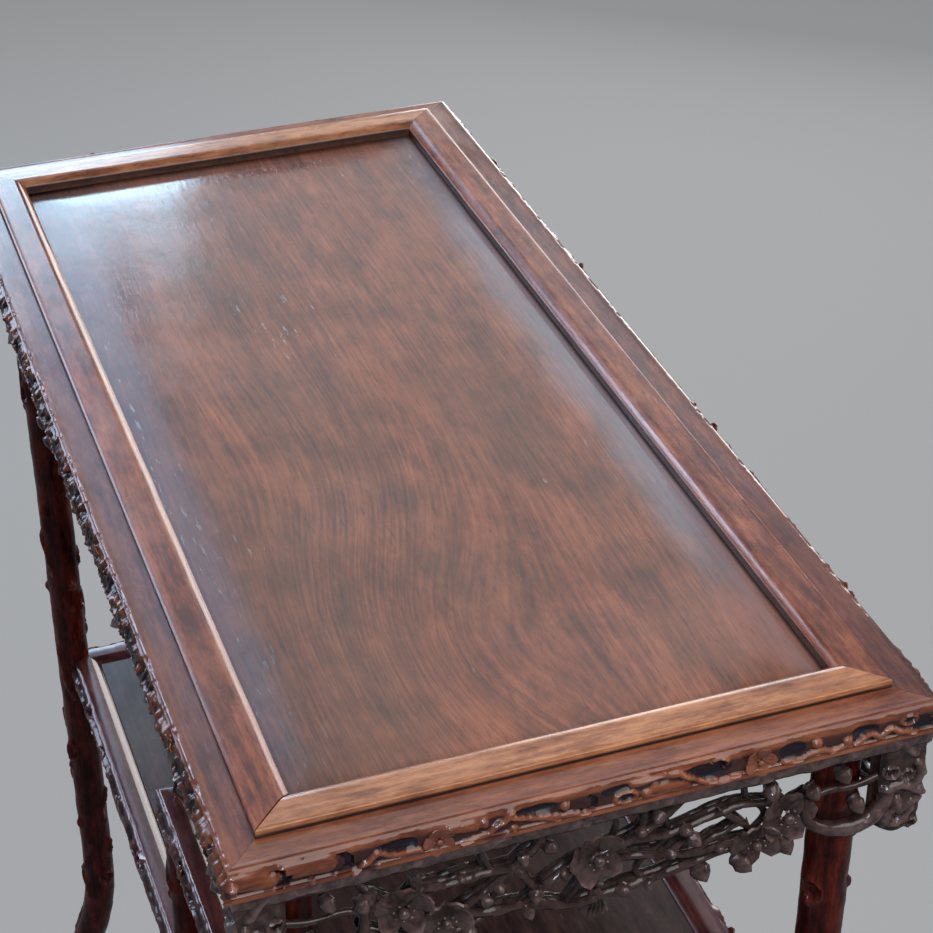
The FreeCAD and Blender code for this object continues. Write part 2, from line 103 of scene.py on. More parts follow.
def setLamps():
    for name, lamp in lamps.items():
        data = bpy.data.lights.new(name, "AREA")
        data.shape = "RECTANGLE"
        data.size, data.size_y = lamp["size"]
        data.energy = lamp["glow"] * math.pi * data.size * data.size_y
        data.color = lamp["colour"]
        fitting = bpy.data.objects.new(name, data)
        fitting.location = lamp["place"]
        turned = (Vector(lamp["aim"]) - fitting.location).to_track_quat("-Z", "Y").to_matrix()
        fitting.rotation_euler = (turned @ Matrix.Rotation(lamp.get("roll", 0.0), 3, "Z")).to_euler()
        scene.collection.objects.link(fitting)
    scene.world = bpy.data.worlds.new("room")
    scene.world.use_nodes = True
    tree = scene.world.node_tree
    ambient = [channel * room["strength"] for channel in room["colour"][:3]] + [1]
    seen = addNode(tree, "LightPath").outputs["Is Camera Ray"]
    tree.links.new(tint(tree, seen, ambient, room["floorFar"]), tree.nodes["Background"].inputs["Color"])


# material building blocks

def addNode(tree, kind, inputs=None, **settings):
    made = tree.nodes.new("ShaderNode" + kind)
    for key, value in settings.items():
        setattr(made, key, value)
    for key, value in (inputs or {}).items():
        if isinstance(value, bpy.types.NodeSocket):
            tree.links.new(value, made.inputs[key])
        else:
            made.inputs[key].default_value = value
    return made


def calc(tree, operation, a, b=0.0, clamp=False):
    return addNode(tree, "Math", {0: a, 1: b}, operation=operation, use_clamp=clamp).outputs[0]


def spread(tree, value, low, high, toLow=0.0, toHigh=1.0):
    wanted = {"Value": value, "From Min": low, "From Max": high, "To Min": toLow, "To Max": toHigh}
    return addNode(tree, "MapRange", wanted, clamp=True).outputs[0]


def weighed(tree, *terms):  # sum of values times their weights
    total = 0.0
    for value, weight in terms:
        total = calc(tree, "ADD", total, calc(tree, "MULTIPLY", value, weight))
    return total


def tint(tree, share, a, b, blend="MIX"):
    return addNode(tree, "Mix", {0: share, 6: a, 7: b}, data_type="RGBA", blend_type=blend).outputs[2]


def attribute(tree, name):
    return addNode(tree, "Attribute", attribute_name=name).outputs["Fac"]


def ramp(tree, value, stops):
    made = addNode(tree, "ValToRGB", {"Fac": value})
    elements = made.color_ramp.elements
    while len(elements) < len(stops):
        elements.new(0.5)
    for element, (position, colour) in zip(elements, stops):
        element.position = position
        element.color = (*colour, 1)
    return made.outputs["Color"]


def grainNoise(tree, place, along, axis, scale, detail=3.0, rough=0.55):
    stretch = [1.0, 1.0, 1.0]
    stretch[axis] = along
    drawn = addNode(tree, "Mapping", {"Vector": place, "Scale": stretch}).outputs[0]
    wanted = {"Vector": drawn, "Scale": scale, "Detail": detail, "Roughness": rough}
    return addNode(tree, "TexNoise", wanted).outputs[0]


def newMaterial(name):
    material = bpy.data.materials.new(name)
    material.use_nodes = True
    return material, material.node_tree, material.node_tree.nodes["Principled BSDF"]


def floorFinish():  # seen directly it is a grey with a painted pool of light, lighter round the object and darker far off; it keeps the shadow, and it gives little light back
    material, tree, shader = newMaterial("pale studio floor")
    place = addNode(tree, "TexCoord").outputs["Object"]
    away = addNode(tree, "VectorMath", {0: place}, operation="LENGTH").outputs["Value"]
    # painted pool of light: the grey is lighter near the object and fades to the far grey
    paintedPoolGrey = tint(tree, spread(tree, away, 0.4, 5.0), room["floorPaintedPool"], room["floorFar"])
    path = addNode(tree, "LightPath").outputs
    gleam = calc(tree, "MULTIPLY", path["Is Glossy Ray"], room["floorGleam"])
    seen = calc(tree, "MAXIMUM", path["Is Camera Ray"], gleam)
    shaded = tint(tree, 1.0, paintedPoolGrey, [room["floorShade"]] * 3 + [1], "MULTIPLY")
    tree.links.new(tint(tree, seen, room["floorBounce"], shaded), shader.inputs["Base Color"])
    tree.links.new(paintedPoolGrey, shader.inputs["Emission Color"])
    tree.links.new(calc(tree, "MULTIPLY", seen, 1 - room["floorShade"]), shader.inputs["Emission Strength"])
    shader.inputs["Roughness"].default_value = 0.9
    shader.inputs["Specular IOR Level"].default_value = 0.1
    return material


def setFloor():
    bm = bmesh.new()
    bmesh.ops.create_grid(bm, x_segments=8, y_segments=8, size=room["floorSize"] / 2)
    mesh = bpy.data.meshes.new("studioFloor")
    bm.to_mesh(mesh)
    bm.free()
    mesh.materials.append(floorFinish())
    floor = bpy.data.objects.new("studioFloor", mesh)
    scene.collection.objects.link(floor)


# hardwood finishes: figure of the tree, pores, blotches, scuffs, darkening in hollows and creases with
# painted shade in deep and tucked-in places, wear on ridges, a veil of dust and painted sheen

def figureLift(tree, along, across, eye):  # a swirl where a branch grew: the grain runs round it
    alongAt, acrossAt, long, wide, lift = eye
    away = calc(tree, "DIVIDE", calc(tree, "SUBTRACT", along, alongAt), long)
    aside = calc(tree, "DIVIDE", calc(tree, "SUBTRACT", across, acrossAt), wide)
    reach = calc(tree, "ADD", calc(tree, "MULTIPLY", away, away), calc(tree, "MULTIPLY", aside, aside))
    return calc(tree, "MULTIPLY", calc(tree, "EXPONENT", calc(tree, "MULTIPLY", reach, -1.0)), lift)


def woodFinish(name, look):
    material, tree, shader = newMaterial(name)
    place = addNode(tree, "TexCoord").outputs["Object"]
    parts = addNode(tree, "SeparateXYZ", {0: place}).outputs
    axis = "xyz".index(look["grain"])
    along, across = parts[axis], parts[1 if axis == 0 else 0]
    inward = parts[1 if axis == 2 else 2]

    def noisy(stretch, scale, detail, rough=0.55):
        return grainNoise(tree, place, stretch, axis, scale, detail, rough)

    # growth rings and streaks follow one phase, so both bend round an eye
    phase = weighed(tree, (across, 1.0), (inward, 0.7), (noisy(0.3, look["warpScale"], 2.0), look["warp"]))
    for eye in look["eyes"]:
        phase = calc(tree, "ADD", phase, figureLift(tree, along, across, eye))
    fine = {"Detail": 4.0, "Roughness": 0.6}
    ring = addNode(tree, "TexNoise", {"W": phase, "Scale": look["rings"], **fine}, noise_dimensions="1D")
    ring = ring.outputs[0]
    drawn = calc(tree, "MULTIPLY", along, look["streakAlong"])
    drawn = addNode(tree, "CombineXYZ", {0: drawn, 1: phase}).outputs[0]
    streak = addNode(tree, "TexNoise", {"Vector": drawn, "Scale": look["streaks"], **fine}).outputs[0]
    mottle = noisy(look["mottleAlong"], look["mottle"], 6.0, 0.7)
    ringShare, streakShare = look["shares"]
    shade = weighed(tree, (ring, ringShare), (streak, streakShare), (mottle, 1 - ringShare - streakShare))
    soft = look["softness"]
    stops = [(0.5 - soft, look["dark"]), (0.5, look["middle"]), (0.5 + soft, look["light"])]
    colour = ramp(tree, shade, stops)

    blotch = spread(tree, noisy(0.5, look["blotchScale"], 4.0, 0.6), 0.46, 0.66, 0.0, look["blotch"])
    glowing = noisy(0.6, 2.3 * look["blotchScale"], 5.0, 0.65)
    pore = spread(tree, noisy(0.06, 1500.0, 2.0, 0.5), 0.60, 0.70)
    fleck = spread(tree, noisy(0.14, 340.0, 3.0, 0.6), 0.60, 0.68, 0.0, look["flecks"])
    handled = attribute(tree, "rubbed")
    rubbed = calc(tree, "MAXIMUM", spread(tree, noisy(1.0, 9.0, 2.0), 0.54, 0.66), handled)
    scratch = weighed(tree, (noisy(0.2, 230.0, 3.0, 0.6), 1.0), (handled, 0.045))
    scuff = calc(tree, "MULTIPLY", spread(tree, scratch, 0.66, 0.72, 0.0, look["scuff"]), rubbed)
    # dust and painted sheen: a pale grey veil laid over the wood by the panel's mask
    hazeAndSheen = calc(tree, "MULTIPLY", attribute(tree, "hazeAndSheen"), spread(tree, glowing, 0.3, 0.6, 1.0, 0.55))
    relief = attribute(tree, "relief")
    patchy = noisy(1.0, 140.0, 3.0, 0.6)
    # relief below zero gives the hollow colour: painted shade where pieces set it for deep and tucked-in
    # places, darker carving elsewhere
    hollow = spread(tree, relief, -0.05, -0.8)
    point = addNode(tree, "NewGeometry").outputs["Pointiness"]
    edge = spread(tree, point, 0.52, 0.62, 0.0, look["edgeWear"])
    ridge = spread(tree, relief, 0.28, 1.1, 0.0, look["ridgeWear"])
    worn = calc(tree, "ADD", edge, ridge, True)
    worn = calc(tree, "MULTIPLY", worn, spread(tree, patchy, 0.34, 0.58, 0.35, 1.0))
    # darker in concave creases, from the pointiness
    crease = spread(tree, point, 0.49, 0.40, 0.0, look["creaseDarkening"])
    coats = [(blotch, "blotchColour"), (spread(tree, glowing, 0.50, 0.70, 0.0, 0.55), "light"),
             (calc(tree, "MULTIPLY", pore, look["pores"]), "hollow"), (fleck, "dark"),
             (scuff, "scuffColour"), (hazeAndSheen, "hazeAndSheenColour"), (hollow, "hollow"),
             (worn, "worn"), (crease, "hollow")]
    for share, paint in coats:
        colour = tint(tree, share, colour, (*look[paint], 1))
    tree.links.new(colour, shader.inputs["Base Color"])

    gloss = spread(tree, glowing, 0.35, 0.65, *look["rough"])
    gloss = weighed(tree, (gloss, 1.0), (hollow, 0.12), (scuff, 0.25))
    tree.links.new(gloss, shader.inputs["Roughness"])
    waves = noisy(0.5, 26.0, 2.0, 0.5)
    height = weighed(tree, (streak, 0.25), (pore, -0.15), (patchy, look["hammer"]),
                     (waves, look["planing"]))
    bump = addNode(tree, "Bump", {"Height": height, "Strength": 1.0, "Distance": look["bump"]}).outputs[0]
    tree.links.new(bump, shader.inputs["Normal"])
    shader.inputs["Specular IOR Level"].default_value = look["specular"]
    return material


baseLook = {"grain": "x", "eyes": [], "warp": 0.03, "warpScale": 5.0, "rings": 60.0, "streaks": 240.0,
            "streakAlong": 0.045, "mottle": 120.0, "mottleAlong": 0.3, "shares": (0.2, 0.3),
            "softness": 0.09, "hazeAndSheenColour": (0.25, 0.25, 0.27), "scuffColour": (0.42, 0.40, 0.38),
            "dark": (0.070, 0.021, 0.013), "middle": (0.16, 0.048, 0.026), "light": (0.25, 0.082, 0.040),
            "blotchScale": 8.0, "blotch": 0.35, "blotchColour": (0.085, 0.040, 0.028), "pores": 0.35,
            "scuff": 0.3, "flecks": 0.5, "hollow": (0.016, 0.008, 0.008), "worn": (0.42, 0.145, 0.055),
            "edgeWear": 0.5, "ridgeWear": 0.5, "creaseDarkening": 0.8, "rough": (0.12, 0.24), "hammer": 0.2,
            "planing": 1.6, "bump": 0.0001, "specular": 0.5}
finishLooks = {
    "panel": {"eyes": [(0.27, -0.035, 0.15, 0.065, 0.055), (0.10, -0.06, 0.12, 0.05, -0.02)],
              "rings": 48.0, "streaks": 400.0, "warp": 0.04, "warpScale": 3.0, "shares": (0.14, 0.42),
              "mottle": 36.0, "mottleAlong": 0.5, "dark": (0.085, 0.030, 0.018),
              "middle": (0.240, 0.071, 0.032), "light": (0.43, 0.137, 0.060), "blotchScale": 3.6,
              "blotch": 0.7, "blotchColour": (0.080, 0.050, 0.030), "scuff": 0.75, "flecks": 0.45,
              "softness": 0.13, "hammer": 0.5, "rough": (0.06, 0.15), "edgeWear": 0.0, "creaseDarkening": 0.0},
    # the shelf boards are painted far darker than the top's panel: painted shade beneath the top
    "shelfPanelPaintedShade": {"dark": (0.036, 0.018, 0.014), "middle": (0.066, 0.033, 0.026),
                   "light": (0.105, 0.053, 0.040), "blotchColour": (0.040, 0.025, 0.020),
                   "rough": (0.16, 0.28), "edgeWear": 0.0, "creaseDarkening": 0.0, "specular": 0.17},
    "borderLong": {"dark": (0.075, 0.020, 0.013), "middle": (0.17, 0.048, 0.027),
                   "light": (0.28, 0.088, 0.045), "specular": 0.38},
    # the end borders and end mouldings are lighter copies of the long ones: painted light on the near and
    # far ends
    "borderCross": {"grain": "y", "dark": (0.14, 0.034, 0.016), "middle": (0.28, 0.080, 0.034),
                    "light": (0.42, 0.140, 0.060), "hollow": (0.016, 0.010, 0.013),
                    "worn": (0.29, 0.112, 0.080)},
    "mouldingLong": {"dark": (0.10, 0.025, 0.014), "middle": (0.26, 0.066, 0.029),
                     "light": (0.43, 0.130, 0.054), "edgeWear": 0.3, "specular": 0.36},
    "mouldingCross": {"grain": "y", "dark": (0.20, 0.056, 0.022), "middle": (0.45, 0.165, 0.066),
                      "light": (0.66, 0.28, 0.120), "rough": (0.16, 0.28), "edgeWear": 0.3},
    "apron": {"dark": (0.007, 0.003, 0.003), "middle": (0.021, 0.009, 0.007),
              "light": (0.052, 0.024, 0.017), "blotchColour": (0.016, 0.009, 0.008),
              "worn": (0.25, 0.155, 0.135), "hollow": (0.002, 0.0015, 0.0015), "rough": (0.09, 0.19),
              "ridgeWear": 0.75, "hammer": 0.5, "bump": 0.0002, "blotchScale": 30.0, "warpScale": 14.0,
              "mottle": 160.0},
    "leg": {"grain": "z", "dark": (0.016, 0.003, 0.003), "middle": (0.078, 0.010, 0.007),
            "light": (0.18, 0.026, 0.012), "blotchColour": (0.022, 0.006, 0.006),
            "worn": (0.22, 0.050, 0.026), "hollow": (0.006, 0.003, 0.004), "rough": (0.16, 0.32),
            "edgeWear": 0.45, "ridgeWear": 0.35, "blotchScale": 16.0, "hammer": 0.6, "bump": 0.0002,
            "specular": 0.16},
    "shelfLong": {"dark": (0.050, 0.013, 0.014), "middle": (0.115, 0.028, 0.026),
                  "light": (0.19, 0.050, 0.040)},
    "plain": {"dark": (0.05, 0.026, 0.018), "middle": (0.095, 0.050, 0.033), "light": (0.14, 0.075, 0.048),
              "rough": (0.55, 0.72), "planing": 3.5, "edgeWear": 0.0, "creaseDarkening": 0.0}}
finishLooks["shelfCross"] = {**finishLooks["shelfLong"], "grain": "y"}
finishes = {}


def sided(kind, turn):  # long sides have their grain along x, short sides along y
    return kind + ("Cross" if turn % 2 else "Long")


def makeFinishes():
    for name, look in finishLooks.items():
        finishes[name] = woodFinish(name + " hardwood", {**baseLook, **look})
    print("finishes", len(finishes))


# shared shaping tools

def sideFrames(kind, names):
    front, right, back, left = [kind + "_" + name for name in names]
    lowX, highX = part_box(left)[0].x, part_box(right)[1].x
    lowY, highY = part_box(front)[0].y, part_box(back)[1].y
    midX, midY = (lowX + highX) / 2, (lowY + highY) / 2
    spots = [(front, highX - lowX, midX, lowY), (right, highY - lowY, highX, midY),
             (back, highX - lowX, midX, highY), (left, highY - lowY, lowX, midY)]
    for turn, (node, length, x, y) in enumerate(spots):
        place = Matrix.Translation((x, y, 0)) @ Matrix.Rotation(turn * math.pi / 2, 4, "Z")
        yield node, turn, length / mm, place @ Matrix.Scale(mm, 4)


def railSize(node):  # width, top and bottom in mm
    low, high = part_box(node)
    return min(high.x - low.x, high.y - low.y) / mm, high.z / mm, low.z / mm


def clamp(value, low=-1.0, high=1.0):
    return max(low, min(high, value))


def smoothStep(low, high, value):
    share = clamp((value - low) / (high - low), 0.0, 1.0)
    return share * share * (3 - 2 * share)


def reliefLayer(bm, name="relief"):
    return bm.verts.layers.float.new(name)


def wholeOf(bm):
    return bm.verts[:] + bm.edges[:] + bm.faces[:]


def shiftBy(bm, reach, verts=None):
    bmesh.ops.translate(bm, verts=verts or bm.verts[:], vec=reach)


def pullOut(bm, rim, reach, cuts):  # pulls a rim of edges along a vector, in short lengths
    pulled = bmesh.ops.extrude_edge_only(bm, edges=rim)["geom"]
    farEnd = [part for part in pulled if isinstance(part, bmesh.types.BMVert)]
    shiftBy(bm, reach, farEnd)
    way, enough = reach.normalized(), reach.length / 2
    runs = [edge for edge in bm.edges if abs((edge.verts[0].co - edge.verts[1].co).dot(way)) > enough]
    bmesh.ops.subdivide_edges(bm, edges=runs, cuts=cuts)


def pullBar(profile, length, step):  # closed profile of (y, z) points, pulled along x
    bm = bmesh.new()
    loop = [bm.verts.new((-length / 2, y, z)) for y, z in profile]
    rim = [bm.edges.new(pair) for pair in zip(loop, loop[1:] + loop[:1])]
    pullOut(bm, rim, Vector((length, 0, 0)), max(1, round(length / step) - 1))
    return bm


def closeEnds(bm):
    bmesh.ops.holes_fill(bm, edges=[edge for edge in bm.edges if edge.is_boundary])


def cutOff(bm, spot, way):  # cuts away what lies past a plane and closes the cut
    bmesh.ops.bisect_plane(bm, geom=wholeOf(bm), plane_co=spot, plane_no=way, clear_outer=True)
    closeEnds(bm)


def mitreEnds(bm, length, gaps=(0.0, 0.0)):
    for side, gap in zip((-1, 1), gaps):
        cutOff(bm, (side * (length / 2 - gap), 0, 0), (side, 1, 0))


def finishPiece(name, bm, finish, nodes, place, sharp=42):
    bmesh.ops.recalc_face_normals(bm, faces=bm.faces[:])
    mesh = bpy.data.meshes.new(name)
    bm.to_mesh(mesh)
    bm.free()
    mesh.transform(place)
    mesh.polygons.foreach_set("use_smooth", [True] * len(mesh.polygons))
    mesh.set_sharp_from_angle(angle=math.radians(sharp))
    mesh.materials.append(finishes[finish])
    piece = bpy.data.objects.new(name, mesh)
    scene.collection.objects.link(piece)
    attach(piece, "root")
    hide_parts(*nodes)
    print(name, len(mesh.polygons), "faces")


# carved relief: each motif gives a height in mm at a place (a, b) on the surface

def ridgeMotif(a, b, toA, toB, width, height):
    runA, runB = toA - a, toB - b
    length = max(runA * runA + runB * runB, 1e-6)

    def heightAt(atA, atB):
        share = clamp(((atA - a) * runA + (atB - b) * runB) / length, 0.0, 1.0)
        away = math.hypot(atA - a - share * runA, atB - b - share * runB) / width
        return height * math.sqrt(1 - away * away) if away < 1 else 0.0
    return min(a, toA) - width, max(a, toA) + width, heightAt


def moundMotif(a, b, wide, tall, height):
    def heightAt(atA, atB):
        away = math.hypot((atA - a) / wide, (atB - b) / tall)
        return height * math.sqrt(1 - away * away) if away < 1 else 0.0
    return a - wide, a + wide, heightAt


def knotMotif(a, b, wide, tall, height):  # raised oval rim round a hollow
    def heightAt(atA, atB):
        away = math.hypot((atA - a) / wide, (atB - b) / tall)
        if away > 1:
            return 0.0
        if away < 0.55:
            return -0.5 * height + 0.35 * height * (1 - away / 0.55)
        return height * math.sin(math.pi * (away - 0.5) / 0.5)
    return a - wide, a + wide, heightAt


def crescentMotif(a, b, size, turn, depth):  # the cut end of a branch: a hollow sickle
    sway, rise = math.cos(turn) * size * 0.45, math.sin(turn) * size * 0.45

    def heightAt(atA, atB):
        if math.hypot(atA - a, atB - b) > size or math.hypot(atA - a + sway, atB - b + rise) < size * 0.78:
            return 0.0
        return -depth
    return a - size, a + size, heightAt


def twigMotifs(points, width, height):
    steps = 6
    line = []
    for (a, b), (toA, toB) in zip(points, points[1:]):
        for step in range(steps):
            share = step / steps
            line.append((a + (toA - a) * share, b + (toB - b) * smoothStep(0, 1, share)))
    line.append(points[-1])
    return [ridgeMotif(*start, *end, width, height) for start, end in zip(line, line[1:])]


def sortMotifs(motifs, cell=8.0):
    shelves = {}
    for low, high, heightAt in motifs:
        for number in range(math.floor(low / cell), math.floor(high / cell) + 1):
            shelves.setdefault(number, []).append(heightAt)

    def heightAt(a, b):
        highest, lowest = 0.0, 0.0
        for motif in shelves.get(math.floor(a / cell), ()):
            height = motif(a, b)
            highest = max(highest, height)
            lowest = min(lowest, height)
        return lowest if lowest < 0 and highest < -lowest else highest
    return heightAt


def grit(a, b, size, seed=0.0):
    return noise.noise((a / size, b / size, seed))


# ornament templates, drawn facing +z, one unit across the half width

def keepTemplate(name, bm, shadeAt):  # shadeAt gives each point its wear above zero and its darkening below zero, which is painted shade on the low and inward sides
    bmesh.ops.recalc_face_normals(bm, faces=bm.faces[:])
    relief = reliefLayer(bm)
    for vert in bm.verts:
        vert[relief] = shadeAt(vert.co)
    mesh = bpy.data.meshes.new(name)
    bm.to_mesh(mesh)
    bm.free()
    return mesh


def stamp(bm, template, place):
    copy = template.copy()
    copy.transform(place)
    bm.from_mesh(copy)
    bpy.data.meshes.remove(copy)


def addShape(bm, shape):
    mesh = bpy.data.meshes.new("shape")
    shape.to_mesh(mesh)
    shape.free()
    bm.from_mesh(mesh)
    bpy.data.meshes.remove(mesh)


blossomSpec = {"petals": 5, "petalReach": 0.57, "petalWide": 0.44, "petalLong": 0.43, "rimLift": 0.50,
               "thickness": 0.10, "eye": 0.2, "stamens": 7, "stamenReach": 0.33}


def makeBlossom():
    spec = blossomSpec
    bm = bmesh.new()
    rim = bmesh.ops.create_circle(bm, cap_ends=True, radius=1.0, segments=14)["verts"]
    dish = bmesh.ops.inset_region(bm, faces=bm.faces[:], thickness=0.2)["faces"]
    inner = [face for face in bm.faces if face not in dish]
    sunk = list({vert for face in inner for vert in face.verts})
    shiftBy(bm, (0, 0, -0.6 * spec["rimLift"]), sunk)
    bmesh.ops.inset_region(bm, faces=inner, thickness=0.35, depth=-0.12)
    for vert in rim:
        vert.co.z += spec["rimLift"] * (0.3 + 0.7 * max(vert.co.x, 0)) + 0.05 * math.sin(9 * vert.co.y)
    bmesh.ops.scale(bm, verts=bm.verts[:], vec=(spec["petalLong"], spec["petalWide"], 1))
    shiftBy(bm, (spec["petalReach"], 0, 0.02))
    bmesh.ops.solidify(bm, geom=bm.faces[:], thickness=spec["thickness"])
    count = spec["petals"]
    bmesh.ops.spin(bm, geom=wholeOf(bm), cent=(0, 0, 0), axis=(0, 0, 1),
                   angle=math.tau * (count - 1) / count, steps=count - 1, use_duplicate=True)
    eye = bmesh.ops.create_uvsphere(bm, u_segments=10, v_segments=6, radius=spec["eye"])["verts"]
    shiftBy(bm, (0, 0, 0.02), eye)
    for number in range(spec["stamens"]):
        turn = math.tau * number / spec["stamens"]
        dot = bmesh.ops.create_icosphere(bm, subdivisions=1, radius=0.06)["verts"]
        reach = spec["stamenReach"]
        shiftBy(bm, (reach * math.cos(turn), reach * math.sin(turn), 0.02), dot)

    def shadeAt(spot):  # pale worn rims, fine veins, hearts darkened with painted shade
        return 1.7 * spot.z + 0.3 * math.sin(31 * math.atan2(spot.y, spot.x)) + 0.1
    return keepTemplate("blossom", bm, shadeAt)


def makeBud():
    bm = bmesh.new()
    ball = bmesh.ops.create_uvsphere(bm, u_segments=9, v_segments=7, radius=1.0)["verts"]
    for vert in ball:
        vert.co.z *= 1.0 + 0.25 * max(vert.co.z, 0)
        waist = 1 - 0.22 * math.exp(-((vert.co.z + 0.25) / 0.16) ** 2)  # the cup that holds the bud
        vert.co.x *= waist
        vert.co.y *= waist
    tip = max(ball, key=lambda vert: vert.co.z)
    tip.co.z += 0.2
    # the bud's outer side worn, its inner side darkened with painted shade
    return keepTemplate("bud", bm, lambda spot: 0.45 * spot.z - 0.3)


def makeThorn():
    bm = bmesh.new()
    bmesh.ops.create_cone(bm, cap_ends=True, segments=6, radius1=1.0, radius2=0.15, depth=1.0)
    shiftBy(bm, (0, 0, 0.5))
    # the thorn's tip worn, its root darkened with painted shade
    return keepTemplate("thorn", bm, lambda spot: 0.6 * spot.z - 0.1)


def makeFan():  # a ribbed leaf that spreads downwards
    bm = bmesh.new()
    bmesh.ops.create_grid(bm, x_segments=10, y_segments=3, size=1.0)
    for number, vert in enumerate(sorted(bm.verts, key=lambda vert: (vert.co.y, vert.co.x))):
        share = (1 - vert.co.y) / 2
        vert.co.z = 0.2 * (number % 11 % 2) * share - 0.15 * vert.co.x * vert.co.x
        vert.co.x *= 0.35 + 0.65 * share
        vert.co.y -= 0.18 * (1 - vert.co.x * vert.co.x) * share
    bmesh.ops.solidify(bm, geom=bm.faces[:], thickness=0.28)
    # raised ribs worn, sunk parts darkened with painted shade
    return keepTemplate("fan", bm, lambda spot: 3 * spot.z)


twigSpec = {"curveSteps": 7, "roughness": 0.45, "roughSize": 4.2}


def growTwigs(bm, paths, sides=2):  # each path: places with a radius, one soft curve
    curve = bpy.data.curves.new("twigs", "CURVE")
    curve.dimensions = "3D"
    curve.bevel_depth = 1.0
    curve.bevel_resolution = sides
    curve.resolution_u = twigSpec["curveSteps"]
    curve.use_fill_caps = True
    for path in paths:
        spline = curve.splines.new("NURBS")
        spline.points.add(len(path) - 1)
        for point, (place, radius) in zip(spline.points, path):
            point.co = (*place, 1)
            point.radius = radius
        spline.order_u = 3
        spline.use_endpoint_u = True
    holder = bpy.data.objects.new("twigs", curve)
    mesh = bpy.data.meshes.new_from_object(holder)
    outwards = [vert.normal.copy() for vert in mesh.vertices]
    for vert, out in zip(mesh.vertices, outwards):
        vert.co += out * twigSpec["roughness"] * noise.noise(vert.co / twigSpec["roughSize"])
    bm.from_mesh(mesh)
    bpy.data.meshes.remove(mesh)
    bpy.data.objects.remove(holder)
    bpy.data.curves.remove(curve)


facing = Matrix.Rotation(math.pi / 2, 4, "X")  # template's +z turned to face out of the side


def onFace(u, t, z, size, turn=0.0, tilt=(0.0, 0.0), flat=1.0):
    lean = Euler((tilt[0], tilt[1], turn)).to_matrix().to_4x4()
    return Matrix.Translation((u, t, z)) @ facing @ lean @ Matrix.Diagonal((size, size, size * flat, 1))


# carved edge of the top: motifs along one short side, u from its middle, v below the border

edgeCarving = {
    "logs": [(-193.5, 7.5, -177, 10.0, 5.0, 1.9), (-168, 7.0, -147, 8.2, 5.2, 2.1),
             (30, 11.0, 47, 14.0, 3.6, 1.6), (-82, 5.6, -69, 6.8, 3.0, 2.2)],
    "crescents": [(-172, 10.4, 6.2, 0.2, 2.0), (-140, 10.2, 6.8, 0.3, 2.2), (-7, 11.0, 5.0, 0.4, 1.6)],
    "hollows": [(-110.5, 7.8, 11, 4.2, -1.8), (-127, 16.5, 7, 4.5, -1.5), (-36, 6.0, 12, 4.0, -1.7),
                (61, 7.5, 13, 5.5, -1.9), (8, 5.5, 8, 3.6, -1.3), (109, 8.0, 8, 5.0, -1.5),
                (152, 6.5, 8, 4.0, -1.5), (-58, 16.5, 8, 3.2, -1.3), (186, 11.0, 7, 5.0, -1.4)],
    "twigs": [
        [(-134, 17.6), (-127, 13.6), (-120.4, 8.6), (-114.8, 11.5), (-109, 12.7), (-97.9, 13.4)],
        [(-76, 16.0), (-64.1, 14.2), (-53.9, 8.8), (-49.1, 4.6)],
        [(-48.5, 7.7), (-36.5, 10.7), (-23.2, 15.2)],
        [(-33.7, 11.5), (-20, 13.8), (-7.2, 15.5)],
        [(17.5, 5.2), (30.3, 4.6), (42.8, 5.4), (49.3, 9.2), (59.3, 14.9), (68.6, 16.6), (78.3, 15.4)],
        [(104, 14.5), (113, 15.5), (124, 12.4), (133, 15.2), (142, 13)],
        [(146, 14.6), (154.5, 9.6), (161, 13.4), (167, 9.4), (173.5, 13.4), (182, 15.5)]],
    "twigWidth": 1.8, "twigHeight": 2.3,
    "knots": [(13.9, 12.3, 8.0, 4.6, 1.6), (66.5, 5.2, 6.0, 3.6, 1.6), (178, 7.0, 6.0, 3.6, 1.4)],
    "buds": [(-64.1, 6.6, 2.8), (-47.9, 14.7, 2.4), (-20.1, 8.0, 2.8), (123.6, 7.8, 3.0),
             (141.2, 10.6, 3.0), (25.1, 12.9, 3.2), (-155, 16.4, 2.2)],
    "blossoms": [(-88.3, 10.8, 8.8), (90.1, 10.6, 9.2)],
    "period": 400, "edgeTall": 20.0, "noseDeep": 5.5, "noseTall": 9.0, "noseSteps": 11, "rows": 11,
    "step": 1.05, "ground": 1.1, "bite": 1.7, "rebate": 19.2, "railInset": 2.5, "dish": 0.28,
    "knob": (4.6, 7.2, 4.2), "flatRows": (23.0, 21.7, 21.2, 18.0, 14.0, 10.5, 8.2, 6.6),
    "longSideCrust": 1.2, "chips": 5.0, "reach": (-3.2, 3.0), "grooveDirtAndShade": (-0.15, -0.7),
    "openMitres": (0.12, 0.12)}


def tiles(length, period):
    count = max(1, round(length / period))
    for number in range(count):
        middle = (number - (count - 1) / 2) * length / count
        yield middle, length / count / period, -1 if number % 2 else 1


def edgeMotifs(length, spec):
    motifs, blossoms = [], []
    for middle, squeeze, flip in tiles(length, spec["period"]):
        def at(u):
            return middle + flip * squeeze * u
        for a, b, toA, toB, width, height in spec["logs"]:
            motifs.append(ridgeMotif(at(a), b, at(toA), toB, width, height))
        for a, b, size, turn, depth in spec["crescents"]:
            motifs.append(crescentMotif(at(a), b, size, turn if flip > 0 else math.pi - turn, depth))
        for a, b, wide, tall, height in spec["hollows"]:
            motifs.append(moundMotif(at(a), b, wide, tall, height))
        for twig in spec["twigs"]:
            motifs += twigMotifs([(at(a), b) for a, b in twig], spec["twigWidth"], spec["twigHeight"])
        for a, b, wide, tall, height in spec["knots"]:
            motifs.append(knotMotif(at(a), b, wide, tall, height))
        for a, b, size in spec["buds"]:
            motifs.append(moundMotif(at(a), b, size, size, size * 0.9))
        blossoms += [(at(a), b, size) for a, b, size in spec["blossoms"]]
    return sortMotifs(motifs), blossoms


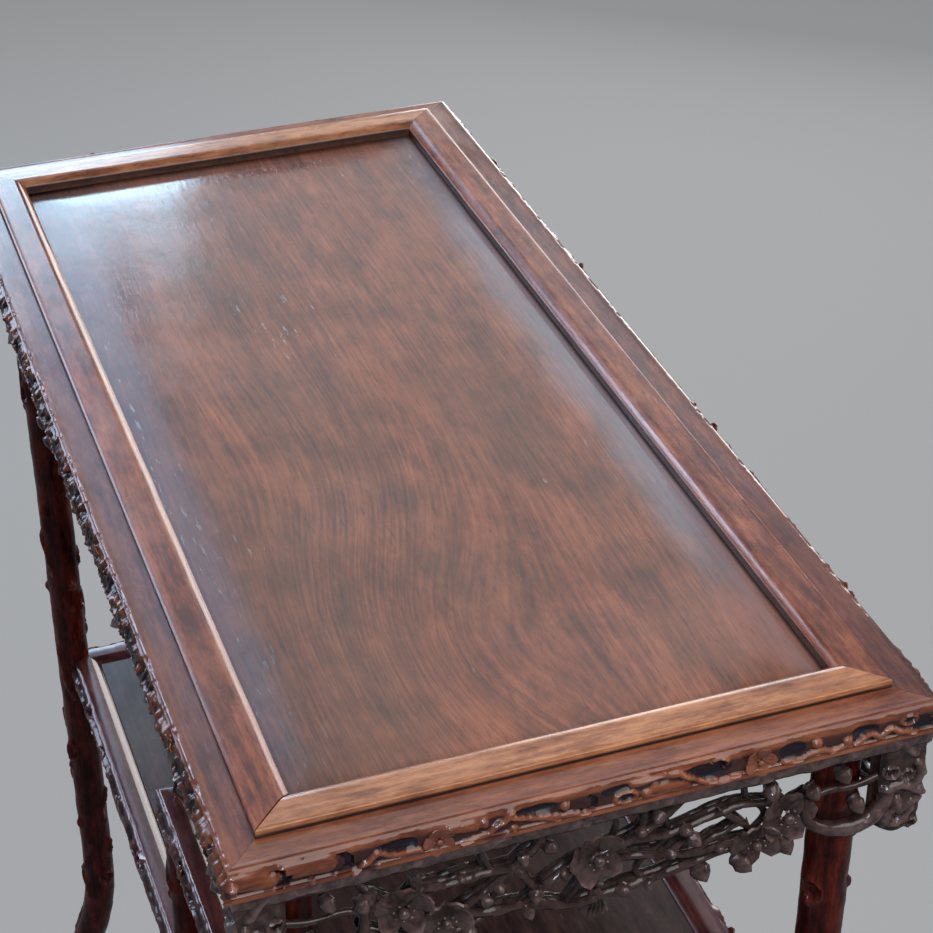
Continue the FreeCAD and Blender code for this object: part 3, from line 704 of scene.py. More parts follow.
def edgeProfile(top, bottom, width, spec):  # section, with the way out and the drop of carved points
    tall, deep, nose, rebate = spec["edgeTall"], spec["noseDeep"], spec["noseTall"], spec["rebate"]
    profile = [(t, top) for t in spec["flatRows"]]
    carved = {}

    def add(spot, out, drop):
        carved[round(spot[0], 4), round(spot[1], 4)] = (out, drop)
        profile.append(spot)
    for number in range(spec["noseSteps"] + 1):
        angle = math.pi / 2 * (1 - number / spec["noseSteps"])
        rise = nose * math.sin(angle)
        out = Vector((-math.cos(angle) * nose, math.sin(angle) * deep)).normalized()
        add((deep - deep * math.cos(angle), top - nose + rise), out, nose - rise)
    for number in range(1, spec["rows"] + 1):
        drop = nose + (tall - 1.0 - nose) * number / spec["rows"]
        add((0.0, top - drop), Vector((-1.0, 0.0)), drop)
    add((1.2, top - tall), Vector((-1.0, 0.0)), tall)
    profile += [(rebate, top - tall), (rebate, bottom), (width, bottom), (width, top - 3), (width - 8, top)]
    return profile, carved


def makeTopRails():
    spec = edgeCarving
    tall = spec["edgeTall"]
    for node, turn, length, place in sideFrames("top_frame", sideNames):
        width, top, bottom = railSize(node)
        profile, carved = edgeProfile(top, bottom, width - spec["railInset"], spec)
        bm = pullBar(profile, length, spec["step"])
        relief = reliefLayer(bm)
        heightAt, blossoms = edgeMotifs(length, spec)
        seed = 3.7 * turn
        longSide = turn % 2 == 0
        for vert in bm.verts:
            u, t, z = vert.co
            found = carved.get((round(t, 4), round(z, 4)))
            if not found:
                if z > top - 0.01 and t < 24:  # flat border with a dark line along the moulding's foot: painted shade and dirt
                    vert.co.z -= spec["dish"] * math.sin(math.pi * t / 22) - 0.1 * grit(u, t, 45, seed)
                    vert[relief] = spec["grooveDirtAndShade"][turn > 0] * smoothStep(21.1, 21.7, t)
                continue
            out, drop = found
            fade = smoothStep(0, 6, length / 2 - abs(u))
            field = smoothStep(3.0, 6.0, drop) * (1 - smoothStep(tall - 4.2, tall - 2.2, drop))
            height = heightAt(u, drop) * fade
            shift = height - spec["ground"] * field * fade + 0.25 * grit(u, drop, 5, seed) * field
            nibble = max(0.0, grit(u, 1, 9, seed + 5)) * smoothStep(0.2, 2.5, drop)
            shift -= spec["bite"] * (nibble * (1 - smoothStep(6, 10, drop)))
            if longSide:
                fine = 1.5 * grit(u, drop, 3.2, seed + 9) + 1.1 * grit(u, drop, 7.5, seed + 2)
                shift = 0.5 * shift + (spec["longSideCrust"] + fine) * field
                chipped = max(0.0, grit(u, 2, 16, seed + 4) + 0.7 * grit(u, 3, 5, seed + 6))
                shift -= spec["chips"] * chipped * (1 - smoothStep(4, 9, drop))
            shift = clamp(shift, *spec["reach"]) * smoothStep(-0.2, 1.4, drop)
            vert.co.y += out.x * shift
            vert.co.z += out.y * min(shift, 0.3)
            worn = 0.4 * smoothStep(0.3, 1.2, drop) * (1 - smoothStep(3.0, 5.0, drop))
            vert[relief] = clamp(height / 2.0, -0.7, 0.9) * smoothStep(1, 4, drop) + worn - 0.68 * field
        mitreEnds(bm, length, spec["openMitres"])
        for u, v, size in blossoms:
            stamp(bm, templates["blossom"], onFace(u, -0.4, top - v, size, turn=0.3 + u * 0.01, flat=0.7))
        knob = Matrix.Translation((4.0 - length / 2, 3.0, top - 9.5)) @ Matrix.Diagonal((*spec["knob"], 1))
        stamp(bm, templates["bud"], knob)
        finishPiece("carved_" + node, bm, sided("border", turn), [node], place)


# raised moulding round the panel

mouldingSpec = {"chamferWide": 5.6, "chamferDrop": 3.9, "outerRound": (2.6, 1.3), "step": 7.0,
                "unevenness": 0.2,
                "openMitres": {"top_moulding_front": (0, 0.9), "top_moulding_right": (0.35, 0)}}


def makeMouldings():
    spec = mouldingSpec
    panelTop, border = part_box("top_panel")[1].z / mm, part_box("top_frame_front")[1].z / mm
    for node, turn, length, place in sideFrames("top_moulding", sideNames):
        width, top, bottom = railSize(node)
        wide, drop, soft = spec["chamferWide"], spec["chamferDrop"], spec["outerRound"][turn % 2]
        arris = width - wide
        profile = [(0.4, bottom), (0.0, border + 1.2), (0.0, border + 2.6), (0.0, top - soft),
                   (soft * 0.13, top - soft * 0.5), (soft * 0.5, top - soft * 0.13), (soft, top)]
        profile += [(width * share, top) for share in (0.16, 0.34, 0.52, 0.68)]
        profile += [(arris - 2.2, top), (arris - 1.1, top - 0.14), (arris, top - 0.5)]
        profile += [(width - wide * share, top - drop * (1 - share)) for share in (0.82, 0.5, 0.15)]
        profile += [(width - 0.3, top - drop), (width, top - drop - 0.8), (width, panelTop - 0.2)]
        profile += [(width - 2.4, panelTop - 0.2), (width - 2.4, bottom)]
        bm = pullBar(profile, length, spec["step"])
        relief = reliefLayer(bm)
        for vert in bm.verts:
            u, t, z = vert.co
            vert.co.z += spec["unevenness"] * grit(u, t, 60, turn * 2.0)
            sway = 1.2 * spec["unevenness"] * grit(u, 3, 40, 9 + turn)
            vert.co.y += sway * smoothStep(width * 0.6, width, t)
            # the inner wall down to the panel and, on the end sides, the foot are darkened: painted shade
            # and dirt
            if t > width - 0.1 or z < border + 1.5 and turn % 2:
                vert[relief] = -0.8
        mitreEnds(bm, length, spec["openMitres"].get(node, (0.1, 0.1)))
        finishPiece("worn_" + node, bm, sided("moulding", turn), [node], place, 30)


# floating panel of the top, its margins fall away a little towards the moulding

panelSpec = {"margin": 36.0, "fall": 1.6, "step": 6.0, "unevenness": 0.10, "hazeAndSheen": 0.55, "rightHazeAndSheen": 1.3,
             "leftHazeAndSheen": 0.1, "farHazeAndSheen": 0.26, "cloudHazeAndSheen": 0.3, "leastHazeAndSheen": 0.05,
             "rows": (0.0, 2.0, 4.0, 7.0, 11.0, 15.0, 20.0, 25.0, 31.0, 38.0, 48.0, 62.0, 82.0, 104.0,
                      126.0)}


def makePanel():
    spec = panelSpec
    low, high = [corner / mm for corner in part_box("top_panel")]
    inner = [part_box("top_moulding_right")[0].x / mm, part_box("top_moulding_back")[0].y / mm]
    across = sorted({side * (inner[1] - row) for row in spec["rows"] for side in (-1, 1)} | {low.y, high.y})
    profile = [(y, high.z) for y in across] + [(high.y, low.z), (low.y, low.z)]
    bm = pullBar(profile, high.x - low.x, spec["step"])
    relief, hazeAndSheen, rubbed = [reliefLayer(bm, name) for name in ("relief", "hazeAndSheen", "rubbed")]
    for vert in bm.verts:
        if vert.co.z > high.z - 0.01:
            x, y = vert.co.x, vert.co.y
            fromLeft, fromRight = inner[1] + y, inner[1] - y
            inside = min(inner[0] - abs(x), inner[1] - abs(y))
            short = max(0.0, 1 - max(inside, 0.0) / spec["margin"])
            sway = grit(x, y, 90, 2) + 0.5 * grit(x, y, 38, 5)
            vert.co.z -= spec["fall"] * short * short + spec["unevenness"] * (sway + 1)
            # painted shade: darker where the panel meets the moulding and along its left side
            vert[relief] = -0.45 * (1 - smoothStep(0, 3, inside)) - 0.4 * (1 - smoothStep(0, 75, fromLeft))
            vert[rubbed] = smoothStep(-160, -60, x) * (1 - smoothStep(8, 34, fromLeft))
            # dust and painted sheen on the panel: a pale veil strongest along the right side, weaker along
            # the left, at the far end and in clouds, and faint everywhere
            rightSide = spec["rightHazeAndSheen"] * (1 - smoothStep(6, 36 + 14 * grit(x, 0, 60), fromRight))
            rightSide *= 1 - 0.6 * smoothStep(200, 340, x)
            leftSide = spec["leftHazeAndSheen"] * (1 - smoothStep(2, 24 + 14 * grit(x, 4, 70), fromLeft))
            farEnd = spec["farHazeAndSheen"] * (1 - smoothStep(-330, 20, x))
            farEnd += spec["cloudHazeAndSheen"] * max(0.0, grit(x, y, 120, 8))
            vert[hazeAndSheen] = spec["hazeAndSheen"] * max(rightSide, leftSide, spec["leastHazeAndSheen"] + farEnd)
    closeEnds(bm)
    place = Matrix.Scale(mm, 4) @ Matrix.Translation(((low.x + high.x) / 2, 0, 0))
    finishPiece("figured_top_panel", bm, "panel", ["top_panel"], place, 60)


# pierced prunus apron: one field of 250 mm between the end loops, u from its middle, v below the border

prunus = {
    "half": 125, "loopHalf": 24,
    "twigs": [  # (u, v, depth) points and a radius at the root and at the tip
        ([(-126, 55, 3), (-122, 52, 2), (-112, 57, 2), (-104, 61, 3)], 2.4, 2.0),
        ([(-104, 60, 3), (-96, 50, 1), (-82, 53, 1), (-69, 51, 1), (-54, 52, 2), (-43, 53, 2)], 2.6, 2.1),
        ([(-98, 30, 4), (-96, 44, 2), (-95, 54, 2)], 3.2, 2.2),
        ([(-43, 53, 2), (-36, 47, 2), (-28, 40, 3), (-22, 29, 5)], 2.4, 2.8),
        ([(-76, 77, 4), (-64, 70, 3), (-52, 62, 3), (-43, 54, 2)], 2.1, 1.9),
        ([(-43, 53, 2), (-38, 60, 1), (-33, 68, 1), (-31, 73, 2)], 2.4, 2.0),
        ([(-74, 77, 3), (-56, 82, 3), (-38, 81, 2), (-24, 86, 2), (-12, 92, 3), (4, 91, 3)], 2.9, 2.4),
        ([(-36, 81, 3), (-27, 73, 2), (-17, 64, 2), (-4, 60, 4)], 2.1, 2.0),
        ([(4, 90, 3), (18, 89, 3), (37, 87, 3), (54, 84, 3), (74, 80, 3), (96, 79, 4)], 2.6, 2.4),
        ([(5, 60, 4), (17, 57, 2), (29, 51, 2), (42, 43, 2), (58, 30, 4)], 2.2, 2.6),
        ([(22, 56, 3), (38, 58, 2), (54, 55, 2), (74, 50, 2), (92, 49, 3), (113, 58, 4)], 2.0, 2.2),
        ([(10, 66, 4), (28, 67, 2), (44, 71, 2), (60, 76, 2), (76, 75, 2), (96, 78, 4)], 2.1, 2.2),
        ([(44, 71, 2), (50, 65, 1), (58, 61, 1)], 2.0, 1.8),
        ([(74, 50, 2), (84, 60, 3), (93, 70, 4), (96, 78, 4)], 1.9, 2.0),
        ([(60, 76, 2), (68, 69, 3), (80, 66, 3), (86, 62, 3)], 1.8, 1.4),
        ([(96, 78, 4), (108, 82, 3), (118, 76, 3), (126, 70, 3)], 2.4, 2.6),
        ([(113, 62, 4), (120, 57, 3), (127, 55, 3)], 2.2, 2.4),
        ([(-126, 70, 3), (-116, 78, 3), (-104, 84, 3), (-92, 80, 3), (-80, 77, 4)], 2.6, 2.4),
        ([(-108, 84, 4), (-98, 90, 3), (-84, 89, 3), (-70, 88, 3), (-56, 83, 4)], 2.2, 2.0),
        ([(-14, 92, 4), (-6, 80, 5), (2, 66, 5)], 2.0, 2.2),
        ([(30, 30, 5), (33, 44, 3), (27, 52, 3)], 2.3, 1.8),
        ([(104, 30, 5), (102, 46, 3), (110, 58, 4)], 2.3, 1.9),
        ([(-126, 40, 4), (-120, 48, 2), (-110, 55, 3)], 2.2, 1.8),
        ([(-62, 30, 5), (-60, 44, 3), (-54, 52, 3)], 2.3, 1.8)],
    "blossoms": [(-104, 62, 16.5, 0.2), (-81, 77, 15.5, 0.9), (3, 60, 17.0, 0.5), (113, 64, 16.5, 0.1),
                 (95, 78, 15.0, 0.7)],
    "buds": [(-121, 47, 4.8), (-51, 65, 4.0), (-59, 71, 4.2), (-31, 73, 4.8), (-24, 44, 4.4),
             (-38, 47, 4.0), (38, 41, 4.8), (53, 55, 4.4), (57, 62, 5.0), (102, 42, 5.6), (18, 88, 4.6),
             (63, 87, 6.4), (87, 90, 6.0), (113, 84, 6.0), (46, 71, 4.0), (-14, 66, 4.2), (28, 50, 3.8),
             (-90, 91, 4.6), (-68, 89, 4.4), (-36, 84, 4.2), (74, 76, 3.6), (-72, 51, 3.4),
             (-118, 79, 4.4), (34, 88, 3.8)],
    "fans": [(4, 94, 8.0)], "leaves": [(-96, 47, 5.0)],
    "loopTwig": [(-23, -9, 2), (-13, -13, 2), (4, -9, 2), (20, -13, 3)], "loopBud": (6, 2, 5.4),
    "loopTwigRadii": (2.4, 1.9, 1.9, 2.6),
    "loopRim": [(-23, -9, 3), (-26, 4, 2), (-13, 16, 2), (6, 19, 1), (20, 12, 1), (27, -2, 2),
                (26, -14, 3)],
    "loopRadii": (2.6, 3.2, 4.6, 5.2, 5.4, 5.0, 4.0), "rootBuds": [(-4, -22, 5.2), (-22, -15, 5.0)]}
apronSpec = {
    "railFront": [(1.8, 0.8), (0.6, -1.5), (0.05, -4.0), (0.0, -6.5), (0.5, -9.0), (1.8, -11.0),
                  (4.2, -12.4)],
    "latticeBack": 7.0, "longSideBack": 7.0, "deepest": 9, "layers": (0.0, 4.0, 8.0),
    "swell": (0.84, 1.22), "blockWide": 29, "blockTall": 74, "blockStep": 1.2, "blockRows": 56,
    "thick": 15.5, "step": 2.0, "petalFront": 6.0, "loopDrop": 64, "loopOverlap": 6, "fieldOverlap": 1,
    "backTwigs": 5, "backDepth": 13.0, "backRadius": 2.0, "backTop": 29,
    "backRows": ((46, 18), (62, 18), (78, 18), (86, 8)),  # a depth and the sway to either side
    "thorns": 22, "thornWide": 1.3, "thornLong": (4, 6.5), "thornLean": (0, 0.8),
    "blossomTilt": ((-0.28, 0.12), (-0.22, 0.22)), "budTilt": ((-0.7, 0.7), (-0.7, 0.7)),
    "budDepth": (0.5, 4.0), "knotMargin": 40, "knotPitch": (34, 70), "knotDrop": (4.0, 7.5),
    "knotWide": (6, 11), "knotTall": (2.4, 3.6), "knotHigh": 1.4, "seed": 20,
    "wearAndShadeFront": 6.2, "wearAndShadeReach": 6.5, "mostWear": (1.0, 0.3)}


def fieldGrowth(bm, ornaments, middle, squeeze, top, back, rng):
    spec, paths = apronSpec, []
    for points, root, tip in prunus["twigs"]:
        last = len(points) - 1
        for layer in spec["layers"]:  # the wood behind is carved away last
            path = []
            for number, (u, v, depth) in enumerate(points):
                inwards = spec["latticeBack"] + back + min(depth + layer, spec["deepest"])
                radius = (root + (tip - root) * number / last) * spec["swell"][number % 2]
                path.append(((middle + squeeze * u, inwards, top - v), radius))
            paths.append(path)
    for _ in range(spec["thorns"]):
        place = rng.choice(rng.choice(paths)[:-1])[0]
        spur = Matrix.Rotation(rng.uniform(0, math.tau), 4, "Y")
        spur = spur @ Matrix.Rotation(rng.uniform(*spec["thornLean"]), 4, "X")
        size = Matrix.Diagonal((spec["thornWide"], spec["thornWide"], rng.uniform(*spec["thornLong"]), 1))
        stamp(ornaments, templates["thorn"], Matrix.Translation(place) @ spur @ size)
    half, count = prunus["half"] * abs(squeeze), spec["backTwigs"]
    for number in range(count):  # growth further back, made dark by the painted shade of depth
        u = middle + half * ((number + rng.uniform(0.1, 0.9)) * 2 / count - 1)
        line = [(u, spec["backTop"])]
        line += [(u + rng.uniform(-sway, sway), v) for v, sway in spec["backRows"]]
        line = [(clamp(x, middle - half, middle + half), v) for x, v in line]
        paths.append([((x, spec["backDepth"], top - v), spec["backRadius"]) for x, v in line])
    growTwigs(bm, paths)
    front = spec["petalFront"] + back

    def put(kind, u, v, inwards, size, turn=0.0, tilt=(0.0, 0.0), shape=(1, 1, 1)):
        place = onFace(middle + squeeze * u, inwards, top - v, size, turn, tilt)
        stamp(ornaments, templates[kind], place @ Matrix.Diagonal((*shape, 1)))
    for u, v, size, turn in prunus["blossoms"]:
        tilt = [rng.uniform(*span) for span in spec["blossomTilt"]]
        put("blossom", u, v, front - 0.8, size, turn, tilt)
    for u, v, size in prunus["buds"]:
        tilt = [rng.uniform(*span) for span in spec["budTilt"]]
        put("bud", u, v, front + rng.uniform(*spec["budDepth"]), size, 0.0, tilt)
    for u, v, size in prunus["fans"]:
        put("fan", u, v, front + 3, size)
    for u, v, size in prunus["leaves"]:
        put("bud", u, v, front + 2.5, size, shape=(0.75, 1.6, 0.5))


def endLoop(bm, ornaments, middle, flip, top, back):
    spec = apronSpec
    centre = top - spec["loopDrop"]

    def path(points, radii):
        return [((middle + flip * u, spec["latticeBack"] + back + depth - 2, centre - v), radius)
                for (u, v, depth), radius in zip(points, radii)]
    twig = path(prunus["loopTwig"], prunus["loopTwigRadii"])
    growTwigs(bm, [twig, path(prunus["loopRim"], prunus["loopRadii"])], 3)
    inwards = spec["petalFront"] + back + 1
    for u, v, size in [prunus["loopBud"]] + prunus["rootBuds"]:
        place = onFace(middle + flip * u, inwards, centre - v, size, 0, (0.5, 0.3))
        stamp(ornaments, templates["bud"], place)


blockCarving = {
    "twigs": [[(-6, 25), (10, 26), (20, 37)], [(1, 59), (12, 57), (27, 65)],
              [(22, 44), (26, 52), (21, 60)], [(8, 87), (17, 84), (21, 77)],
              [(3, 70), (7, 80), (4, 90)], [(12, 68), (14, 76), (24, 71)]],
    "knots": [(6, 47, 6, 5, 2.2), (16, 51, 5, 4, 1.8), (12, 79, 5, 6, 2.0), (22, 88, 5, 4, 1.8)],
    "twigWide": 2.6, "twigHigh": 2.6}


def endBlock(bm, half, flip, top, railTop, seed):
    wide, thick = apronSpec["blockWide"], apronSpec["thick"]
    bottom = railTop - apronSpec["blockTall"]
    rows = apronSpec["blockRows"]
    profile = [(0.0, railTop - (railTop - bottom) * row / rows) for row in range(rows + 1)]
    profile += [(thick, bottom), (thick, railTop)]
    block = pullBar(profile, wide, apronSpec["blockStep"])
    motifs = [knotMotif(*knot) for knot in blockCarving["knots"]]
    for twig in blockCarving["twigs"]:
        motifs += twigMotifs(twig, blockCarving["twigWide"], blockCarving["twigHigh"])
    heightAt = sortMotifs(motifs)
    for vert in block.verts:
        along, drop = vert.co.x + wide / 2, top - vert.co.z
        fromLoop = along if flip > 0 else wide - along
        if vert.co.y < 0.01:
            away = 2.4 * (1 - smoothStep(0, 5, fromLoop)) + 3.0 * smoothStep(84, 94, drop)
            vert.co.y = 3.0 - heightAt(fromLoop, drop) - 1.3 * grit(along, drop, 7, seed) + away
            vert.co.y = max(vert.co.y, -0.4)
        vert.co.z += 1.6 * grit(along, 0, 9, seed + 2) * smoothStep(railTop - 30, bottom, vert.co.z)
        vert.co.z += 7.0 * (1 - smoothStep(0, 14, fromLoop)) * smoothStep(railTop - 50, bottom, vert.co.z)
    closeEnds(block)
    shiftBy(block, (flip * (half - wide / 2), 0, 0))
    addShape(bm, block)


def railBranch(bm, length, railTop, seed, rng):
    spec = apronSpec
    thick = spec["thick"]
    profile = [(y, railTop + z) for y, z in spec["railFront"]]
    profile += [(thick, railTop - 12), (thick, railTop + 0.8)]
    branch = pullBar(profile, length, spec["step"])
    motifs = []
    u = -length / 2 + spec["knotMargin"]
    while u < length / 2 - spec["knotMargin"]:
        size = [rng.uniform(*spec[key]) for key in ("knotDrop", "knotWide", "knotTall")]
        motifs.append(knotMotif(u, *size, spec["knotHigh"]))
        u += rng.uniform(*spec["knotPitch"])
    heightAt = sortMotifs(motifs)
    for vert in branch.verts:
        if vert.co.y < thick - 1:
            along, drop = vert.co.x, railTop - vert.co.z
            swell = 0.9 * grit(along, 0, 23, seed) + 0.5 * grit(along, drop, 5, seed + 1)
            vert.co.y -= heightAt(along, drop) + swell - 0.9
            if drop > 6:
                vert.co.z -= 1.8 * max(0, grit(along, 2, 15, seed + 3))
    addShape(bm, branch)


def makeAprons():
    spec = apronSpec
    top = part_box("top_frame_front")[1].z / mm
    railTop = top - edgeCarving["edgeTall"]
    for node, turn, length, place in sideFrames("top_apron", sideNames):
        rng = random.Random(spec["seed"] + turn)
        bm, ornaments = bmesh.new(), bmesh.new()
        for shape in (bm, ornaments):
            reliefLayer(shape)
        half = length / 2
        back = spec["longSideBack"] if turn % 2 == 0 else 0.0
        railBranch(bm, length, railTop, 11.3 * turn, rng)
        for flip in (-1, 1):
            endBlock(bm, half, flip, top, railTop, 5.1 * turn + flip)
        mitreEnds(bm, length, (0.1, 0.1))
        loopMiddle = half - spec["blockWide"] - prunus["loopHalf"] + spec["loopOverlap"]
        for flip in (-1, 1):
            endLoop(bm, ornaments, flip * loopMiddle, flip, top, back)
        fieldHalf = loopMiddle - prunus["loopHalf"] + spec["fieldOverlap"]
        for middle, squeeze, flip in tiles(2 * fieldHalf, 2 * prunus["half"]):
            fieldGrowth(bm, ornaments, middle, squeeze * flip, top, back, rng)
        # what stands out is worn, what lies deep gets painted shade, darker the deeper it lies
        for shape, most in zip((bm, ornaments), spec["mostWear"]):
            relief = shape.verts.layers.float["relief"]
            for vert in shape.verts:
                wearAndDepthShade = min(most, (spec["wearAndShadeFront"] + back - vert.co.y) / spec["wearAndShadeReach"])
                vert[relief] = clamp(vert[relief] + wearAndDepthShade)
        addShape(bm, ornaments)
        finishPiece("prunus_" + node, bm, "apron", [node], place)


# legs and posts: round wood with cut twigs, oval knots and short creeping twigs in relief

legSpec = {"radius": 14.0, "around": 44, "step": 2.2, "bendHeight": 148.0, "bendRadius": 260.0, "toe": 18.0,
           "toeHeight": 16.0, "counts": (17, 14, 20), "seed": 60}  # counts of knots, twigs and stubs
postSpec = {"around": 36, "counts": (3, 3, 4), "seed": 80}
roundCarving = {"knot": ((9, 15), (5.5, 8.0), (1.6, 2.6)), "twig": (2.3, 2.4), "twigPoints": (2, 4),
                "twigPitch": (12, 26), "twigSway": (-12, 12), "stub": (2.6, 4.2)}


def roundRelief(length, radius, counts, rng):
    spec = roundCarving
    knots, twigs, stubs = counts
    girth = math.tau * radius
    motifs = []

    def wrapped(make, a):
        return [make(a + girth * lap) for lap in (-1, 0, 1)]
    for number in range(knots):
        a, b = rng.uniform(0, girth), length * (number + rng.uniform(0.1, 0.9)) / knots
        size = [rng.uniform(*span) for span in spec["knot"]]
        motifs += wrapped(lambda lapA: knotMotif(b, lapA, *size), a)
    for number in range(twigs):
        a, b = rng.uniform(0, girth), length * (number + rng.uniform(0, 1)) / twigs
        points = [(b, a)]
        for _ in range(rng.randint(*spec["twigPoints"])):
            b += rng.uniform(*spec["twigPitch"])
            a += rng.uniform(*spec["twigSway"])
            points.append((b, a))
        for lap in (-1, 0, 1):
            motifs += twigMotifs([(place, lapA + girth * lap) for place, lapA in points], *spec["twig"])
    for number in range(stubs):
        a, b = rng.uniform(0, girth), rng.uniform(0, length)
        size = rng.uniform(*spec["stub"])
        motifs += wrapped(lambda lapA: moundMotif(b, lapA, size * 1.3, size, size * 0.85), a)
    return sortMotifs(motifs), girth


def roundStick(length, radius, around, step):
    bm = bmesh.new()
    bmesh.ops.create_circle(bm, radius=radius, segments=around)
    pullOut(bm, bm.edges[:], Vector((0, 0, -length)), round(length / step) - 1)
    return bm


def carveStick(bm, heightAt, girth, seed):
    relief = reliefLayer(bm)
    for vert in bm.verts:
        out = Vector((vert.co.x, vert.co.y, 0)).normalized()
        around = math.atan2(out.y, out.x) % math.tau / math.tau * girth
        down = -vert.co.z
        height = heightAt(down, around)
        rough = 0.5 * noise.noise((out.x * 1.5, out.y * 1.5, down / 16 + seed))
        rough += 0.18 * noise.noise((out.x * 5, out.y * 5, down / 5 + seed))
        vert.co += out * (height + rough - 0.5)
        vert[relief] = clamp(height / 2.4)


def sweepFoot(bm, straight, length, outward):  # bends the foot outwards and swells its toe
    spec = legSpec
    bend = spec["bendRadius"]
    for vert in bm.verts:
        down = -vert.co.z
        if down > straight:
            angle = (down - straight) / bend
            toToe = smoothStep(length - 2.6 * spec["toeHeight"], length - 4, down)
            swell = 1 + (spec["toe"] / spec["radius"] - 1) * toToe
            side = Vector((vert.co.x, vert.co.y, 0)) * swell
            lean = side.dot(outward)
            bowed = bend * (1 - math.cos(angle)) + lean * math.cos(angle)
            vert.co.z = -straight - bend * math.sin(angle) + lean * math.sin(angle)
            flat = side - outward * lean + outward * bowed
            vert.co.x, vert.co.y = flat.x, flat.y


def makeLegs():
    spec = legSpec
    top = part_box("top_frame_front")[0].z / mm
    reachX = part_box("lower_shelf_frame_right")[1].x / mm
    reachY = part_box("lower_shelf_frame_back")[1].y / mm
    straight = top - spec["bendHeight"]
    length = straight + spec["bendRadius"] * math.asin(spec["bendHeight"] / spec["bendRadius"])
    for number, (endName, x) in enumerate((("left", -reachX), ("right", reachX))):
        for sideName, y in (("front", -reachY), ("back", reachY)):
            node = "leg_" + sideName + "_" + endName
            rng = random.Random(spec["seed"] + number * 2 + (y > 0))
            heightAt, girth = roundRelief(length - 30, spec["radius"], spec["counts"], rng)
            bm = roundStick(length + 12, spec["radius"], spec["around"], spec["step"])
            carveStick(bm, heightAt, girth, rng.uniform(0, 50))
            outward = Vector((x, 0, 0)).normalized() + Vector((0, y, 0)).normalized()
            outward.normalize()
            sweepFoot(bm, straight, length, outward)
            shiftBy(bm, (x, y, top))
            cutOff(bm, (0, 0, 0), (0, 0, -1))  # flat on the floor
            finishPiece("carved_" + node, bm, "leg", [node], Matrix.Scale(mm, 4))


def makePosts():
    for number, sideName in enumerate(("front", "back")):
        node = "half_shelf_post_" + sideName
        low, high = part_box(node)
        rng = random.Random(postSpec["seed"] + number)
        radius = (high.x - low.x) / 2 / mm
        length = (high.z - low.z) / mm
        heightAt, girth = roundRelief(length, radius, postSpec["counts"], rng)
        bm = roundStick(length, radius, postSpec["around"], legSpec["step"])
        carveStick(bm, heightAt, girth, 7.0 + number)
        closeEnds(bm)
        middle = (low + high) / 2 / mm
        shiftBy(bm, (middle.x, middle.y, high.z / mm))
        finishPiece("carved_" + node, bm, "leg", [node], Matrix.Scale(mm, 4))


# shelves: rails with knobbly carved edges, wavy strips under them, the low end rail

shelfSpec = {"lip": 2.0, "lipSteps": 4, "rows": 12, "step": 2.0, "ground": 2.2, "chamferWide": 6.4,
             "chamferTall": 3.8, "bulge": 4.0, "proudest": 2.4, "blossomEvery": 230, "blossomSize": 9.0,
             "blossomSway": (-20, 20), "blossomRise": (0.35, 0.6), "stripRows": 12, "stripThick": 10.0,
             "waveDrop": 9.0, "waveDepth": 9.0, "wavePitch": 90.0, "hemSteps": 120,
             "twig": (2.8, 3.2), "twigRise": (0.22, 0.8), "twigPitch": (14, 30), "sideTwig": (1.8, 2.6),
             "knotWide": (6, 10), "knotTall": (4, 6), "knotHigh": 2.4, "stub": (3, 4.6),
             "stubSway": (-6, 6)}


def knobblyMotifs(length, tall, rng):  # a twig that winds along the edge, with knots, stubs and side twigs
    spec = shelfSpec
    u = -length / 2 + 12
    points = []
    while u < length / 2 - 8:
        points.append((u, rng.uniform(*spec["twigRise"]) * tall))
        u += rng.uniform(*spec["twigPitch"])
    motifs = twigMotifs(points, *spec["twig"])
    for a, b in points:
        kind = rng.random()
        if kind < 0.35:
            size = [rng.uniform(*spec[key]) for key in ("knotWide", "knotTall")]
            motifs.append(knotMotif(a, tall - b, *size, spec["knotHigh"]))
        elif kind < 0.75:
            size = rng.uniform(*spec["stub"])
            at = a + rng.uniform(*spec["stubSway"])
            motifs.append(moundMotif(at, tall - b, size * 1.4, size, size * 0.8))
        else:
            line = [(a, b), (a + 8, tall - b), (a + 18, tall * 0.5)]
            motifs += twigMotifs(line, *spec["sideTwig"])
    return sortMotifs(motifs)


def scatterBlossoms(length, tall, rng):
    count = max(1, round(length / shelfSpec["blossomEvery"]))
    for number in range(count):
        u = length * ((number + 0.5) / count - 0.5) + rng.uniform(*shelfSpec["blossomSway"])
        yield u, rng.uniform(*shelfSpec["blossomRise"]) * tall


